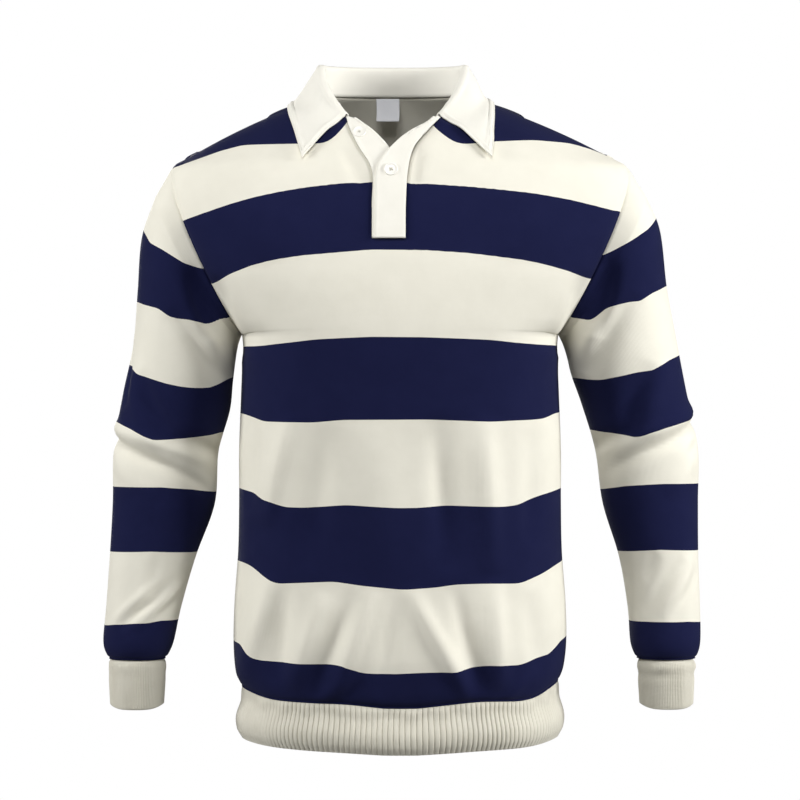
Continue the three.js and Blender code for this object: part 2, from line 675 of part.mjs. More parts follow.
// The collar is one strip: up the stand, over the fold, and down the leaf
function collar() {
  const points = [];
  const faces = [];
  const perStation = 5 + leafParts.length;
  for (let strip = 0; strip <= collarStrips; strip += 1) {
    const degrees = lerp(-neckFrontAngle, neckFrontAngle, strip / collarStrips);
    const side = Math.sign(degrees) || 1;
    const read = (column) => readTable(collarStations, 'degrees', Math.abs(degrees), column);
    const seam = neckPoint(degrees);
    const outward = new THREE.Vector3(Math.sin(radians(degrees)), Math.cos(radians(degrees)), 0);
    const base = seam.clone().addScaledVector(outward, -collarWall);
    base.z += seamGap + 0.3;
    const stand = read('stand');
    const radius = Math.min(foldRadius, stand * 0.6);
    const edge = new THREE.Vector3(read('edgeMiddleX') + side * read('edgeX'), read('edgeY'), read('edgeZ'));
    keepOff(edge, collarWall + leafClearance);
    const turn = base.clone().addScaledVector(outward, radius);
    turn.z = seam.z + stand - radius;
    const section = [base];
    for (const share of [0.5, 1]) {
      section.push(base.clone().setZ(lerp(base.z, turn.z, share)));
    }
    for (const degreesOver of [60, 125]) {
      const over = radians(degreesOver);
      const point = turn.clone().addScaledVector(outward, -radius * Math.cos(over));
      section.push(point.setZ(turn.z + radius * Math.sin(over)));
    }
    const start = turn.clone().addScaledVector(outward, radius);
    for (const share of leafParts) {
      const point = start.clone().lerp(edge, share);
      point.addScaledVector(outward, 2.5 * Math.sin(Math.PI * share));
      if (share < 1 && share > 0.3) keepOff(point, collarWall + leafClearance);
      section.push(point);
    }
    points.push(...section);
  }
  for (let strip = 0; strip < collarStrips; strip += 1) {
    for (let step = 0; step < perStation - 1; step += 1) {
      const here = strip * perStation + step;
      faces.push([here, here + perStation, here + perStation + 1, here + 1]);
    }
  }
  return wallGeometry(points, faces, collarWall);
}

// A placket is a band from the slit's edge to its free edge, standing off the chest
function placket(freeEdge, key, proud) {
  const side = key === 'right' ? -1 : 1;
  const columns = 3;
  const points = [];
  const faces = [];
  const seamNormals = new Map();
  const lastRow = slitEdges.length - 1;
  slitEdges.forEach((edge, row) => {
    const below = slitEdges[Math.max(row - 1, 0)];
    const back = row === lastRow ? placketTopDrop / Math.hypot(edge[key] - below[key], edge.z - below.z) : 0;
    const seam = new THREE.Vector2(lerp(edge[key], below[key], back), lerp(edge.z, below.z, back));
    const free = new THREE.Vector2(freeEdge[row].x, freeEdge[row].z);
    const inset = seamInset / seam.distanceTo(free);
    for (let column = 0; column <= columns; column += 1) {
      const place = seam.clone().lerp(free, lerp(inset, 1, column / columns));
      const z = place.y + (row === 0 ? seamInset : 0);
      if (column === 0) seamNormals.set(points.length, new THREE.Vector3(0, -1, 0));
      points.push(new THREE.Vector3(place.x, bodyY(-1, place.x, z) - proud, z));
    }
  });
  for (let row = 0; row < slitEdges.length - 1; row += 1) {
    for (let column = 0; column < columns; column += 1) {
      const here = row * (columns + 1) + column;
      const corners = [here, here + 1, here + columns + 2, here + columns + 1];
      faces.push(side < 0 ? corners : corners.reverse());
    }
  }
  return wallGeometry(points, faces, placketWall, seamNormals);
}

// A four-hole button, flat in its own frame with its face along +Z
function buttonGeometry() {
  const outline = new THREE.Shape().absarc(0, 0, buttonDiameter / 2, 0, 2 * Math.PI, false);
  for (const turn of [45, 135, 225, 315]) {
    const hole = new THREE.Path();
    const angle = radians(turn);
    hole.absarc(buttonHoleSpread * Math.cos(angle), buttonHoleSpread * Math.sin(angle), buttonHole / 2, 0, 2 * Math.PI, true);
    outline.holes.push(hole);
  }
  const geometry = new THREE.ExtrudeGeometry(outline, { depth: buttonThick, bevelEnabled: false, curveSegments: 6 });
  geometry.deleteAttribute('normal');
  geometry.deleteAttribute('uv');
  const merged = mergeVertices(geometry, 1e-3);
  merged.computeVertexNormals();
  return merged;
}

function clothFinish(color, roughness) {
  return new THREE.MeshStandardMaterial({ color, roughness, metalness: 0 });
}

const shirt = new THREE.Group();

function addPiece(name, geometry, material) {
  const piece = new THREE.Mesh(geometry, material);
  piece.name = name;
  shirt.add(piece);
  return piece;
}

// Panels of striped jersey
addPiece('front_body', bodyPanel(-1), clothFinish(0xf4f1e4, 0.9));
addPiece('back_body', bodyPanel(1), clothFinish(0xeeebdd, 0.9));
addPiece('sleeve_right', sleeve('right'), clothFinish(0x1b1d40, 0.9));
addPiece('sleeve_left', sleeve('left'), clothFinish(0x1b1d40, 0.9));

// Rib-knit bands
addPiece('cuff_right', cuff('right'), clothFinish(0xece8d8, 0.95));
addPiece('cuff_left', cuff('left'), clothFinish(0xece8d8, 0.95));
addPiece('hem_band', hemBand(), clothFinish(0xece8d8, 0.95));

// Collar and plackets of woven twill
addPiece('collar', collar(), clothFinish(0xf2efe2, 0.85));
addPiece('placket_over', placket(overFreeEdge, 'left', overProud), clothFinish(0xf2efe2, 0.85));
addPiece('placket_under', placket(underFreeEdge, 'right', underProud), clothFinish(0xe8e4d4, 0.85));

// Buttons: the fastened one lies on the upper placket, the open one on the lower placket
function placeButton(name, place, proud) {
  const button = addPiece(name, buttonGeometry(), clothFinish(0xf1ecdc, 0.4));
  const step = 4;
  const slopeX = (bodyY(-1, place.x + step, place.z) - bodyY(-1, place.x - step, place.z)) / (2 * step);
  const slopeZ = (bodyY(-1, place.x, place.z + step) - bodyY(-1, place.x, place.z - step)) / (2 * step);
  const outward = new THREE.Vector3(slopeX, -1, slopeZ).normalize();
  button.quaternion.setFromUnitVectors(new THREE.Vector3(0, 0, 1), outward);
  button.position.set(place.x, bodyY(-1, place.x, place.z), place.z);
  button.position.addScaledVector(outward, proud + buttonStand);
}
placeButton('button_low', lowButton, overProud);
placeButton('button_top', topButton, underProud);

// The label is sewn into the back neck seam and hangs inside
const labelTop = neckPoint(0);
const labelShape = new THREE.BoxGeometry(labelWidth, labelThick, labelHeight);
const label = addPiece('neck_label', labelShape, clothFinish(0xffffff, 0.7));
const labelY = labelTop.y - collarWall - labelThick / 2 - labelStand;
label.position.set(labelTop.x - labelShift, labelY, labelTop.z + labelTuck - labelHeight / 2);

export default shirt;
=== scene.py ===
"""Long-sleeved rugby shirt in its worn shape: cream jersey with broad navy hoops, rib-knit cuffs
and hem band, a twill collar and a two-button placket.

Lengths in the tables are millimetres in the frame's own axes (+Z up, -Y out of the front, +X to
the wearer's left). They turn into metres where a mesh is made.
"""
import math

import bpy
import numpy as np
from mathutils import Matrix, Vector, kdtree


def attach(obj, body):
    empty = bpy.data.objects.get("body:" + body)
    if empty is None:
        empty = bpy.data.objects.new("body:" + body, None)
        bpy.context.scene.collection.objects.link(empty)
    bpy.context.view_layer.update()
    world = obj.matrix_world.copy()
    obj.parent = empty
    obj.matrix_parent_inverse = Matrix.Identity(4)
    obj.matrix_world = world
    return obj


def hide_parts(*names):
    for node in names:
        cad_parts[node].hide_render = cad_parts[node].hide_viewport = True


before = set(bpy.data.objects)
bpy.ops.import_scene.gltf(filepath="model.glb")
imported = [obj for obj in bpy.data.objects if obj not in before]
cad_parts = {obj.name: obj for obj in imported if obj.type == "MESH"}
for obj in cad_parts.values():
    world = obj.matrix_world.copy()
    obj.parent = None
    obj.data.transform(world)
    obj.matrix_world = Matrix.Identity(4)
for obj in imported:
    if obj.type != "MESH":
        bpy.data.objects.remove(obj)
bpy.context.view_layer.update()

MM = 0.001

# Cloth walls and the hairline kept at a seam
JERSEY_WALL = 1.3
RIB_WALL = 2.0
TWILL_WALL = 2.0
SEAM_GAP = 0.12

# Main lines of the body
HEM_CENTRE_Z = -694
HEM_SIDE_Z = -680
ARMPIT_Z = -288
ARMPIT_X = 176.5
TIP_X, TIP_Y, TIP_Z = 249, 7, -97
ARMHOLE_REACH = 56
ARMHOLE_BOW = 15
NECK_POINT_Z = -20
NECK_POINT_Y = 5
SHOULDER_BOW = 5
SECTION_POWER = 2.25

# Steps up a panel: the hem is step 0, then the armpit, the slit and the shoulder seam
ARMPIT_STEP = 11
SLIT_STEP = 14
NECK_STEP = 19
TOP_STEP = 23
BACK_NECK_STEP = 19

# Neck ring
NECK_X = -8
NECK_HALF = 80
NECK_BACK = 53
NECK_FRONT = 65
NECK_BACK_Z = -18
NECK_FRONT_Z = -50
NECK_END = 140
COLLAR_WALL = 2.2


def table(columns, *rows):
    """The rows of a table, each as a dict by the names of its columns."""
    return [dict(zip(columns.split(), row)) for row in rows]


BODY_SIDES = table(
    "z half",
    (-694, 176), (-680, 178), (-664, 183), (-632, 186), (-586, 185), (-530, 181), (-474, 180),
    (-418, 180), (-362, 178), (-305, 176), (-288, 176.5),
)

BODY_DEPTHS = table(
    "z front back",
    (-694, 121, 108), (-676, 126, 113), (-640, 130, 116), (-550, 123, 108), (-450, 120, 104),
    (-362, 123, 108), (-287, 126, 115), (-230, 122, 119), (-187, 114, 119), (-150, 104, 115),
    (-112, 90, 107), (-85, 76, 98), (-50, 53, 80), (-18, 26, 59),
)

EDGE_TURNS = table(
    "z degrees",
    (-288, 90), (-250, 76), (-193, 64), (-130, 62), (-97, 72), (-20, 74),
)

# How deep the cloth would lie at its edge, eased in at the armpit and out at the shoulder tip
EDGE_DEPTHS = table(
    "z depth",
    (-360, 0), (-330, 2.5), (-305, 9), (-288, 18), (-270, 31), (-250, 44), (-230, 53.1),
    (-210, 55.9), (-190, 55.9), (-170, 53.4), (-150, 48.4), (-130, 40.1), (-115, 30.6),
    (-105, 20.8), (-97, 9), (-90, 3), (-83, 0),
)

# Edges of the slit, from its foot to the neck; right is the wearer's right
SLIT_EDGES = table(
    "step z right left",
    (14, -187.5, -30.8, 5.9),
    (15, -150, -30.8, 6.2),
    (16, -112, -31, 8.7),
    (17, -85, -45.5, 15.8),
    (18, -64, -55.5, 31.8),
    (19, -50, -59.4, 43.4),
)
CENTRE_DRIFT = -12
SLIT_HALF = 18.35


def curve(rows, key, column):
    """A smooth line through one column of a table, read at any place along its key column."""
    at = np.array([row[key] for row in rows], float)
    values = np.array([row[column] for row in rows], float)
    if at[0] > at[-1]:
        at, values = at[::-1], values[::-1]
    before = np.maximum(np.arange(len(at)) - 1, 0)
    after = np.minimum(np.arange(len(at)) + 1, len(at) - 1)
    slopes = (values[after] - values[before]) / (at[after] - at[before])

    def read(place):
        place = np.clip(np.asarray(place, float), at[0], at[-1])
        low = np.clip(np.searchsorted(at, place, side="right") - 1, 0, len(at) - 2)
        span = at[low + 1] - at[low]
        share = (place - at[low]) / span
        square, cube = share**2, share**3
        return (
            values[low] * (2 * cube - 3 * square + 1)
            + slopes[low] * span * (cube - 2 * square + share)
            + values[low + 1] * (3 * square - 2 * cube)
            + slopes[low + 1] * span * (cube - square)
        )

    return read


side_half = curve(BODY_SIDES, "z", "half")
front_depth = curve(BODY_DEPTHS, "z", "front")
back_depth = curve(BODY_DEPTHS, "z", "back")
edge_turn = curve(EDGE_TURNS, "z", "degrees")
edge_depth = curve(EDGE_DEPTHS, "z", "depth")
slit_z = curve(SLIT_EDGES, "step", "z")
slit_right = curve(SLIT_EDGES, "step", "right")
slit_left = curve(SLIT_EDGES, "step", "left")


def lerp(a, b, share):
    return a + (b - a) * share


def bell(distance, width):
    return np.exp(-((distance / width) ** 2))


def unit(vectors):
    return vectors / np.maximum(np.linalg.norm(vectors, axis=-1, keepdims=True), 1e-9)


def armhole_point(side, face, share):
    """The armhole seam, for a share of its height from the armpit to the shoulder tip."""
    round_ = np.sqrt(np.maximum(0, 1 - (2 * share - 1) ** 2))
    x = lerp(ARMPIT_X, TIP_X, share) + ARMHOLE_BOW * round_ * (0.6 + 0.8 * share)
    y = TIP_Y * share + face * ARMHOLE_REACH * round_ * (1.08 - 0.16 * share)
    return np.stack([side * x, y, lerp(ARMPIT_Z, TIP_Z, share)], -1)


def body_edge(face, x, z):
    """How far out the front or the back reaches at a height, and how deep it lies there."""
    share = np.clip((z - ARMPIT_Z) / (TIP_Z - ARMPIT_Z), 0, 1)
    rise = NECK_POINT_Z - TIP_Z
    straight = np.clip((z - TIP_Z) / rise, 0, 1)
    up = np.maximum(0, straight - SHOULDER_BOW * np.sin(np.pi * straight) / rise)
    neck_x = NECK_HALF + np.sign(x) * NECK_X
    edge_x = np.where(z <= TIP_Z, armhole_point(1, face, share)[..., 0], lerp(TIP_X, neck_x, up))
    edge_x = np.where(z <= ARMPIT_Z, side_half(z), edge_x)
    middle = np.where(z <= TIP_Z, TIP_Y * share, lerp(TIP_Y, NECK_POINT_Y, up))
    return edge_x, middle + face * edge_depth(z)


def body_y(face, x, z):
    """How far forward or back the body's plain surface lies at a place across and up it."""
    edge_x, edge_y = body_edge(face, x, z)
    centre = face * (front_depth(z) if face < 0 else back_depth(z))
    turn = np.radians(edge_turn(z))
    share = np.minimum(1, np.abs(x) / edge_x)
    angle = np.arcsin(np.minimum(1, share ** (SECTION_POWER / 2) * np.sin(turn)))
    left = np.maximum(0, (np.cos(angle) - np.cos(turn)) / (1 - np.cos(turn)))
    return lerp(centre, edge_y, 1 - left ** (2 / SECTION_POWER))


def neck_point(degrees):
    """The neck seam, by degrees round it from the centre of the back."""
    angle = np.radians(degrees)
    forward = np.maximum(0, -np.cos(angle)) / -math.cos(math.radians(NECK_END))
    x = NECK_X + NECK_HALF * np.sin(angle)
    reach = np.where(np.cos(angle) > 0, NECK_BACK, NECK_FRONT)
    back_z = lerp(NECK_BACK_Z, NECK_POINT_Z, np.sin(angle) ** 2)
    front_z = NECK_POINT_Z + (NECK_FRONT_Z - NECK_POINT_Z) * forward**1.3
    return np.stack([x, NECK_POINT_Y + reach * np.cos(angle), np.where(forward > 0, front_z, back_z)], -1)


def soft_line(line, across, soft):
    """Height of a line of points at each place across, with its corners rounded off."""
    places = np.array(line, float)
    beside = [np.interp(across + step * soft, places[:, 0], places[:, 1]) for step in np.linspace(-1, 1, 7)]
    return np.mean(beside, axis=0)


def low_share(step):
    return (np.minimum(step, ARMPIT_STEP) / ARMPIT_STEP) ** 1.2


def inner_z(step, top_step, top_z):
    low = lerp(HEM_CENTRE_Z, ARMPIT_Z, low_share(step))
    high = lerp(ARMPIT_Z, top_z, (step - ARMPIT_STEP) / (top_step - ARMPIT_STEP))
    return np.where(step <= ARMPIT_STEP, low, high)


def front_inner(side, step):
    """The inner edge of half the front: beside the centre, up the slit, then round the neck."""
    z = inner_z(step, SLIT_STEP, SLIT_EDGES[0]["z"])
    drift = np.clip((z - HEM_CENTRE_Z) / (SLIT_EDGES[0]["z"] - HEM_CENTRE_Z), 0, 1)
    x = CENTRE_DRIFT * drift + side * SLIT_HALF
    slit = (step >= SLIT_STEP) & (step < NECK_STEP)
    z = np.where(slit, slit_z(step), z)
    x = np.where(slit, slit_left(step) if side > 0 else slit_right(step), x)
    place = np.stack([x, body_y(-1, x, z), z], -1)
    up = np.clip((step - NECK_STEP) / (TOP_STEP - NECK_STEP), 0, 1)
    return np.where((step >= NECK_STEP)[..., None], neck_point(side * lerp(NECK_END, 90, up)), place)


def back_inner(side, step):
    """The centre of the back, then the back of the neck."""
    z = inner_z(step, BACK_NECK_STEP, NECK_BACK_Z)
    x = NECK_X * np.clip((z - ARMPIT_Z) / (NECK_BACK_Z - ARMPIT_Z), 0, 1)
    place = np.stack([x, body_y(1, x, z), z], -1)
    up = np.clip((step - BACK_NECK_STEP) / (TOP_STEP - BACK_NECK_STEP), 0, 1)
    return np.where((step >= BACK_NECK_STEP)[..., None], neck_point(side * 90 * up), place)


def panel_outer(side, face, step):
    """The outer edge of half a panel: up the side seam, then up the armhole."""
    z = lerp(HEM_SIDE_Z, ARMPIT_Z, low_share(step))
    seam = np.stack([side * side_half(z), np.zeros_like(z), z], -1)
    angle = np.pi * (1 - np.clip((step - ARMPIT_STEP) / (TOP_STEP - ARMPIT_STEP), 0, 1))
    armhole = armhole_point(side, face, (1 + np.cos(angle)) / 2)
    return np.where((step <= ARMPIT_STEP)[..., None], seam, armhole)


FRONT_HEM = ((-178, 0), (-167, -2), (-144, -6), (-102, -3.5), (-60, 0), (0, -1), (85, 0), (141, -7),
             (160, -2), (178, 8))
BACK_HEM = ((-178, 0), (-140, -4), (-60, 0), (50, -2), (120, -3), (160, 2), (178, 8))


def hem_shift(face, x):
    """How far the hem seam wavers up or down, across the front or the back."""
    return soft_line(FRONT_HEM if face < 0 else BACK_HEM, x, 14)


def panel_grid(side, face, steps, shares):
    """Points of half a panel, a row for each step up it and a column for each share outwards."""
    step = steps[:, None] + 0 * shares[None, :]
    share = shares[None, :] + 0 * step
    outer = panel_outer(side, face, step)
    inner = front_inner(side, step) if face < 0 else back_inner(side, step)
    high = np.clip((step - ARMPIT_STEP) / (TOP_STEP - ARMPIT_STEP), 0, 1)
    turn = np.radians(np.where(step <= ARMPIT_STEP, 90, lerp(80, 40, high)))
    spacing = np.sin(turn * share) / np.sin(turn)
    x = lerp(inner[..., 0], outer[..., 0], spacing)
    bow = SHOULDER_BOW * np.sin(np.pi * spacing) * np.maximum(0, (step - TOP_STEP + 3) / 3)
    z = lerp(inner[..., 2], outer[..., 2], spacing) + bow
    inner_miss = inner[..., 1] - body_y(face, inner[..., 0], inner[..., 2])
    outer_miss = outer[..., 1] - body_y(face, outer[..., 0], outer[..., 2])
    y = body_y(face, x, z) + inner_miss * (1 - spacing) ** 3 + outer_miss * spacing**8
    top = step >= TOP_STEP
    y = np.where(top, lerp(inner[..., 1], outer[..., 1], spacing), y)
    y = y + np.where(top | (share >= 1), face * SEAM_GAP / 2, 0)
    return np.stack([x, y, z], -1)


# Edges of the hoops from the hem up, as places (x, z) across the front; cloth is navy above the
# first, cream above the second, and so on in turn
FRONT_HOOPS = (
    ((-190, -720), (190, -720)),
    ((-186, -629), (-171, -631), (-164, -640), (-156, -646), (-133, -647), (-104, -647), (-62, -648),
     (-41, -656), (-20, -657.5), (27, -655.5), (62, -654.5), (95, -648.5), (131, -650), (153, -643),
     (168, -639.5), (172, -630), (187, -623)),
    ((-187, -540), (-171, -541), (-160, -546), (-150, -554), (-135, -562), (-107, -560), (-71, -558),
     (-43, -562), (4, -566.5), (39, -564), (60, -561), (86, -560.5), (131, -561.5), (156, -552),
     (173, -543), (187, -538)),
    ((-182, -459), (-158, -465), (-150, -471), (-138, -473), (-128, -478.5), (-107, -479), (-57, -475.5),
     (-6, -478.5), (18, -478.5), (51, -476), (110, -478), (124, -477), (139, -473), (156, -466),
     (182, -459)),
    ((-178, -376), (-167, -379), (-150, -385.5), (-95, -386.5), (-62, -383.5), (27, -383), (98, -385.5),
     (146, -383.5), (161, -382), (166, -378), (178, -375)),
    ((-178, -303), (-153, -303), (-123, -300), (-90, -296.5), (-31, -294), (27, -294.5), (98, -297),
     (129, -300), (153, -301.5), (178, -302)),
    ((-206, -235), (-186, -224.5), (-161, -215.5), (-137, -210), (-106, -205.5), (-31, -199.5), (27, -200),
     (74, -203), (133, -210), (157, -214.5), (186, -222), (206, -229)),
    ((-242, -165), (-186, -148), (-157, -140.5), (-128, -134.5), (-100, -130), (-67, -126.5), (-30, -125),
     (39, -127.5), (74, -129.5), (110, -133), (146, -137), (186, -143), (236, -153.5)),
    # The last edge rises beside the slit and runs aslant just under each collar leaf, along the line of the leaf's
    # shadow. The navy sliver left under each leaf is partly the navy hoop and partly painted shadow.
    ((-250, -103), (-200, -86), (-174, -80), (-118, -80.5), (-90, -81), (-78, -79), (-66, -67), (-58, -56),
     (-48, -40), (0, -20), (22, -40), (34, -58), (46, -70), (60, -80), (72, -82), (103, -78), (147, -75),
     (189, -76.5), (214, -82), (250, -94)),
)

BACK_HOOPS = (
    ((-190, -720), (190, -720)),
    ((-187, -629), (-160, -645), (-90, -650), (-20, -655), (60, -650), (130, -648), (160, -641), (187, -623)),
    ((-187, -540), (-155, -556), (-100, -562), (-40, -559), (20, -566), (80, -561), (150, -558), (187, -538)),
    ((-182, -459), (-150, -472), (-90, -477), (-10, -474), (60, -479), (130, -475), (182, -459)),
    ((-178, -376), (-150, -385), (-60, -387), (30, -389), (110, -386), (150, -383), (178, -375)),
    ((-178, -303), (-120, -304), (0, -307), (110, -305), (178, -302)),
    ((-206, -235), (-150, -226), (-60, -221), (40, -221), (140, -225), (206, -229)),
    ((-242, -165), (-150, -147), (-40, -138), (60, -138), (150, -145), (236, -153.5)),
)

# The same on the sleeves from the cuff up, by share of the width from the outer to the inner edge
SLEEVE_HOOPS = {
    "right": (
        ((0, -700), (1, -700)),
        ((0, -611.5), (0.35, -608), (0.6, -607.5), (0.8, -605), (1, -605.5)),
        ((0, -530.5), (0.5, -529), (1, -531)),
        ((0, -458.5), (0.5, -458), (0.8, -461), (1, -464.5)),
        ((0, -386), (0.19, -395), (0.33, -403), (0.41, -406.5), (0.51, -406), (0.67, -405), (0.82, -403),
         (0.91, -401), (1, -397.5)),
        ((0, -322), (0.05, -327), (0.12, -333.5), (0.24, -338), (0.41, -344), (0.55, -347.5),
         (0.69, -349), (0.81, -348.5), (0.88, -345), (1, -336)),
        ((0, -252), (0.1, -256.5), (0.25, -261), (0.3, -265), (0.36, -270), (0.44, -272.5), (0.56, -273.5),
         (0.66, -276), (0.74, -278), (0.8, -277), (0.85, -273), (1, -266)),
        ((0, -170.5), (0.08, -180.5), (0.13, -188), (0.27, -196.5), (0.37, -203.5), (0.48, -211),
         (0.6, -216.5), (1, -228)),
    ),
    "left": (
        ((0, -700), (1, -700)),
        ((0, -608), (0.2, -606), (0.8, -606), (1, -606.5)),
        ((0, -529), (0.5, -527), (1, -530)),
        ((0, -455), (0.4, -454.5), (0.65, -456), (0.78, -457), (1, -461.5)),
        ((0, -380), (0.07, -385), (0.32, -393), (0.47, -398.5), (0.57, -402.5), (0.63, -403), (0.69, -401.5),
         (0.81, -400), (0.91, -398), (1, -395)),
        ((0, -311.5), (0.13, -318), (0.3, -329), (0.46, -332), (0.61, -336), (0.79, -340), (0.88, -339.5),
         (1, -337)),
        ((0, -234), (0.1, -240), (0.17, -243.5), (0.22, -247), (0.3, -253), (0.39, -254), (0.5, -256.5),
         (0.6, -259.5), (0.66, -262), (0.71, -266.5), (0.76, -271.5), (0.8, -274), (0.87, -272), (1, -266)),
        ((0, -157.5), (0.08, -166.5), (0.14, -173), (0.28, -184), (0.39, -191.5), (0.48, -198),
         (0.56, -203), (1, -222)),
    ),
}

# Folds, each along a line between two places: from x and z, to x and z, how far it sags off the
# line, its width on its two sides, and its height; a trough has a negative height
FRONT_FOLDS = (
    (-118, -376, -146, -502, 0, 9, 13, 7),
    (-158, -370, -166, -490, 0, 7, 9, -3.1),
    (-84, -388, -97, -548, 0, 20, 19, -7.2),
    (-24, -384, -12, -566, 0, 27, 25, 6),
    (40, -378, 51, -550, 0, 17, 14, -8.4),
    (90, -374, 99, -552, 0, 14, 14, 9.8),
    (146, -392, 142, -522, 0, 12, 10, -5),
    (-138, -552, -172, -676, 0, 9, 13, 7.4),
    (-124, -562, -135, -674, 0, 10, 12, -7),
    (-80, -570, -118, -678, 0, 11, 11, 6),
    (-50, -566, -92, -684, 0, 8, 10, -5.8),
    (-24, -560, -70, -690, 0, 8, 9, 6),
    (-2, -570, -22, -684, 0, 11, 11, -4.6),
    (8, -562, 76, -686, 0, 9, 9, 8.4),
    (58, -560, 86, -682, 0, 11, 11, -7.4),
    (100, -556, 109, -678, 0, 11, 13, 7.7),
    (141, -570, 152, -664, 0, 12, 12, -3.8),
    (-92, -692, -58, -660, 0, 5, 6, 2.2),
    (-74, -696, -40, -664, 0, 5, 6, -1.9),
    (112, -690, 138, -664, 0, 6, 6, 2.2),
    (-206, -226, -172, -316, -6, 12, 9, -7.2),
    (-190, -246, -150, -330, -5, 9, 14, 3.1),
    (204, -222, 173, -314, 6, 9, 12, -6.7),
    (188, -244, 152, -330, 5, 14, 9, 3.4),
    (-66, -84, -36, -134, 0, 9, 6, -3.6),
    (26, -84, 15, -138, 0, 6, 9, -3.1),
    (-150, -136, -140, -214, 0, 34, 34, 3.6),
    (146, -132, 138, -212, 0, 34, 34, 3.6),
)

BACK_FOLDS = (
    (-112, -360, -136, -500, 0, 10, 16, 5.8),
    (-128, -560, -152, -672, 0, 10, 14, 6.1),
    (-70, -420, -84, -560, 0, 15, 18, -5.8),
    (-96, -570, -104, -670, 0, 12, 12, -5.4),
    (-26, -330, -16, -520, 0, 22, 18, 5.1),
    (-48, -560, -30, -684, 0, 14, 9, 4.8),
    (34, -400, 48, -560, 0, 14, 17, -6.5),
    (16, -580, 8, -676, 0, 10, 12, -4.4),
    (86, -380, 108, -540, 0, 18, 16, 6.5),
    (60, -570, 72, -680, 0, 9, 12, 4.4),
    (100, -580, 106, -668, 0, 11, 10, -5.1),
    (136, -560, 148, -662, 0, 15, 14, 5.8),
    (-206, -226, -170, -322, -6, 12, 10, -6.1),
    (204, -222, 171, -320, 6, 10, 12, -5.8),
    (-176, -150, -118, -250, 8, 12, 18, 3.7),
    (172, -146, 116, -246, -8, 18, 12, 3.4),
    (-60, -120, 66, -128, -6, 12, 14, 2.4),
)

# The same on the sleeves, in degrees round from the outer edge over the front, and z
SLEEVE_FOLDS = {
    "right": (
        (96, -212, 124, -296, 0, 12, 8, -7.4),
        (74, -262, 142, -342, 0, 8, 11, -6.2),
        (100, -262, 150, -332, 0, 8, 9, 4.1),
        (44, -330, 108, -412, -4, 8, 12, -6.5),
        (30, -330, 84, -418, -4, 10, 9, 3.0),
        (-34, -396, 160, -466, 9, 4, 9, -7.6),
        (-20, -388, 158, -440, 8, 7, 7, 5.6),
        (96, -404, 186, -424, 0, 8, 8, -5.7),
        (20, -428, 90, -470, 0, 12, 12, 2.7),
        (40, -612, 112, -562, 0, 6, 7, 3.8),
        (58, -616, 134, -556, 0, 6, 6, -4.1),
        (78, -616, 160, -558, 0, 6, 7, 3.8),
        (98, -616, 160, -572, 0, 6, 6, -3.2),
        (98, -530, 104, -580, 0, 9, 9, -2.4),
        (8, -296, 30, -372, 0, 7, 8, -3.2),
        (60, -470, 120, -500, 0, 14, 14, 1.9),
        (216, -240, 262, -330, 6, 10, 12, -5.9),
        (236, -300, 300, -390, 6, 12, 9, 4.1),
        (200, -408, 330, -426, -6, 8, 9, -6.2),
        (210, -440, 320, -452, 6, 9, 9, 4.3),
        (214, -566, 300, -612, 0, 7, 7, 3.5),
        (232, -560, 316, -606, 0, 6, 6, -3.5),
    ),
    "left": (
        (92, -204, 120, -292, 0, 12, 8, -7.4),
        (70, -244, 138, -336, 0, 9, 11, -5.7),
        (98, -256, 148, -326, 0, 8, 9, 3.8),
        (64, -322, 116, -404, 4, 12, 8, -6.5),
        (46, -318, 92, -404, 4, 9, 10, 3.5),
        (-30, -374, 156, -444, 4, 4, 9, -7.4),
        (-20, -366, 152, -424, 4, 7, 7, 5.4),
        (104, -396, 180, -416, 0, 8, 8, -5.4),
        (8, -404, 44, -424, 0, 5, 6, -3.2),
        (28, -424, 74, -468, 0, 10, 10, 2.7),
        (58, -534, 132, -596, 0, 7, 10, -4.6),
        (24, -544, 86, -608, 0, 6, 9, -2.7),
        (36, -540, 104, -600, 0, 8, 8, 3.0),
        (96, -530, 122, -560, 0, 9, 9, -3.0),
        (214, -236, 258, -328, 6, 10, 12, -5.9),
        (238, -296, 302, -384, 6, 12, 9, 4.1),
        (198, -404, 330, -420, -6, 8, 9, -6.2),
        (212, -434, 322, -448, 6, 9, 9, 4.1),
        (220, -560, 304, -608, 0, 7, 7, 3.2),
    ),
}
DEGREE_LENGTH = 0.9
TOP_HOOP_RISE = 60
HOOP_SOFTNESS = 6
SLEEVE_HOOP_SOFTNESS = 0.018


def fold_relief(folds, across, up):
    """How far the folds lift the cloth at each place."""
    lift = np.zeros(np.shape(across))
    for from_x, from_z, to_x, to_z, sag, wide_a, wide_b, height in folds:
        length = math.hypot(to_x - from_x, to_z - from_z)
        along_x, along_z = (to_x - from_x) / length, (to_z - from_z) / length
        share = ((across - from_x) * along_x + (up - from_z) * along_z) / length
        middle = sag * 4 * share * (1 - share)
        off = (up - from_z) * along_x - (across - from_x) * along_z - middle
        fade = np.sin(np.pi * np.clip(share, 0, 1)) ** 0.8
        lift += height * fade * bell(off, np.where(off > 0, wide_a, wide_b))
    return lift


def hoop_count(hoops, across, up, soft):
    """Which hoop a place lies in: the whole part counts the edges below it."""
    heights = [soft_line(line, across, soft) for line in hoops]
    heights.append(heights[-1] + TOP_HOOP_RISE)
    count = np.zeros(np.shape(across))
    for low, high in zip(heights, heights[1:]):
        count += np.clip((up - low) / (high - low), 0, 1)
    return np.minimum(count, len(hoops) - 0.1)


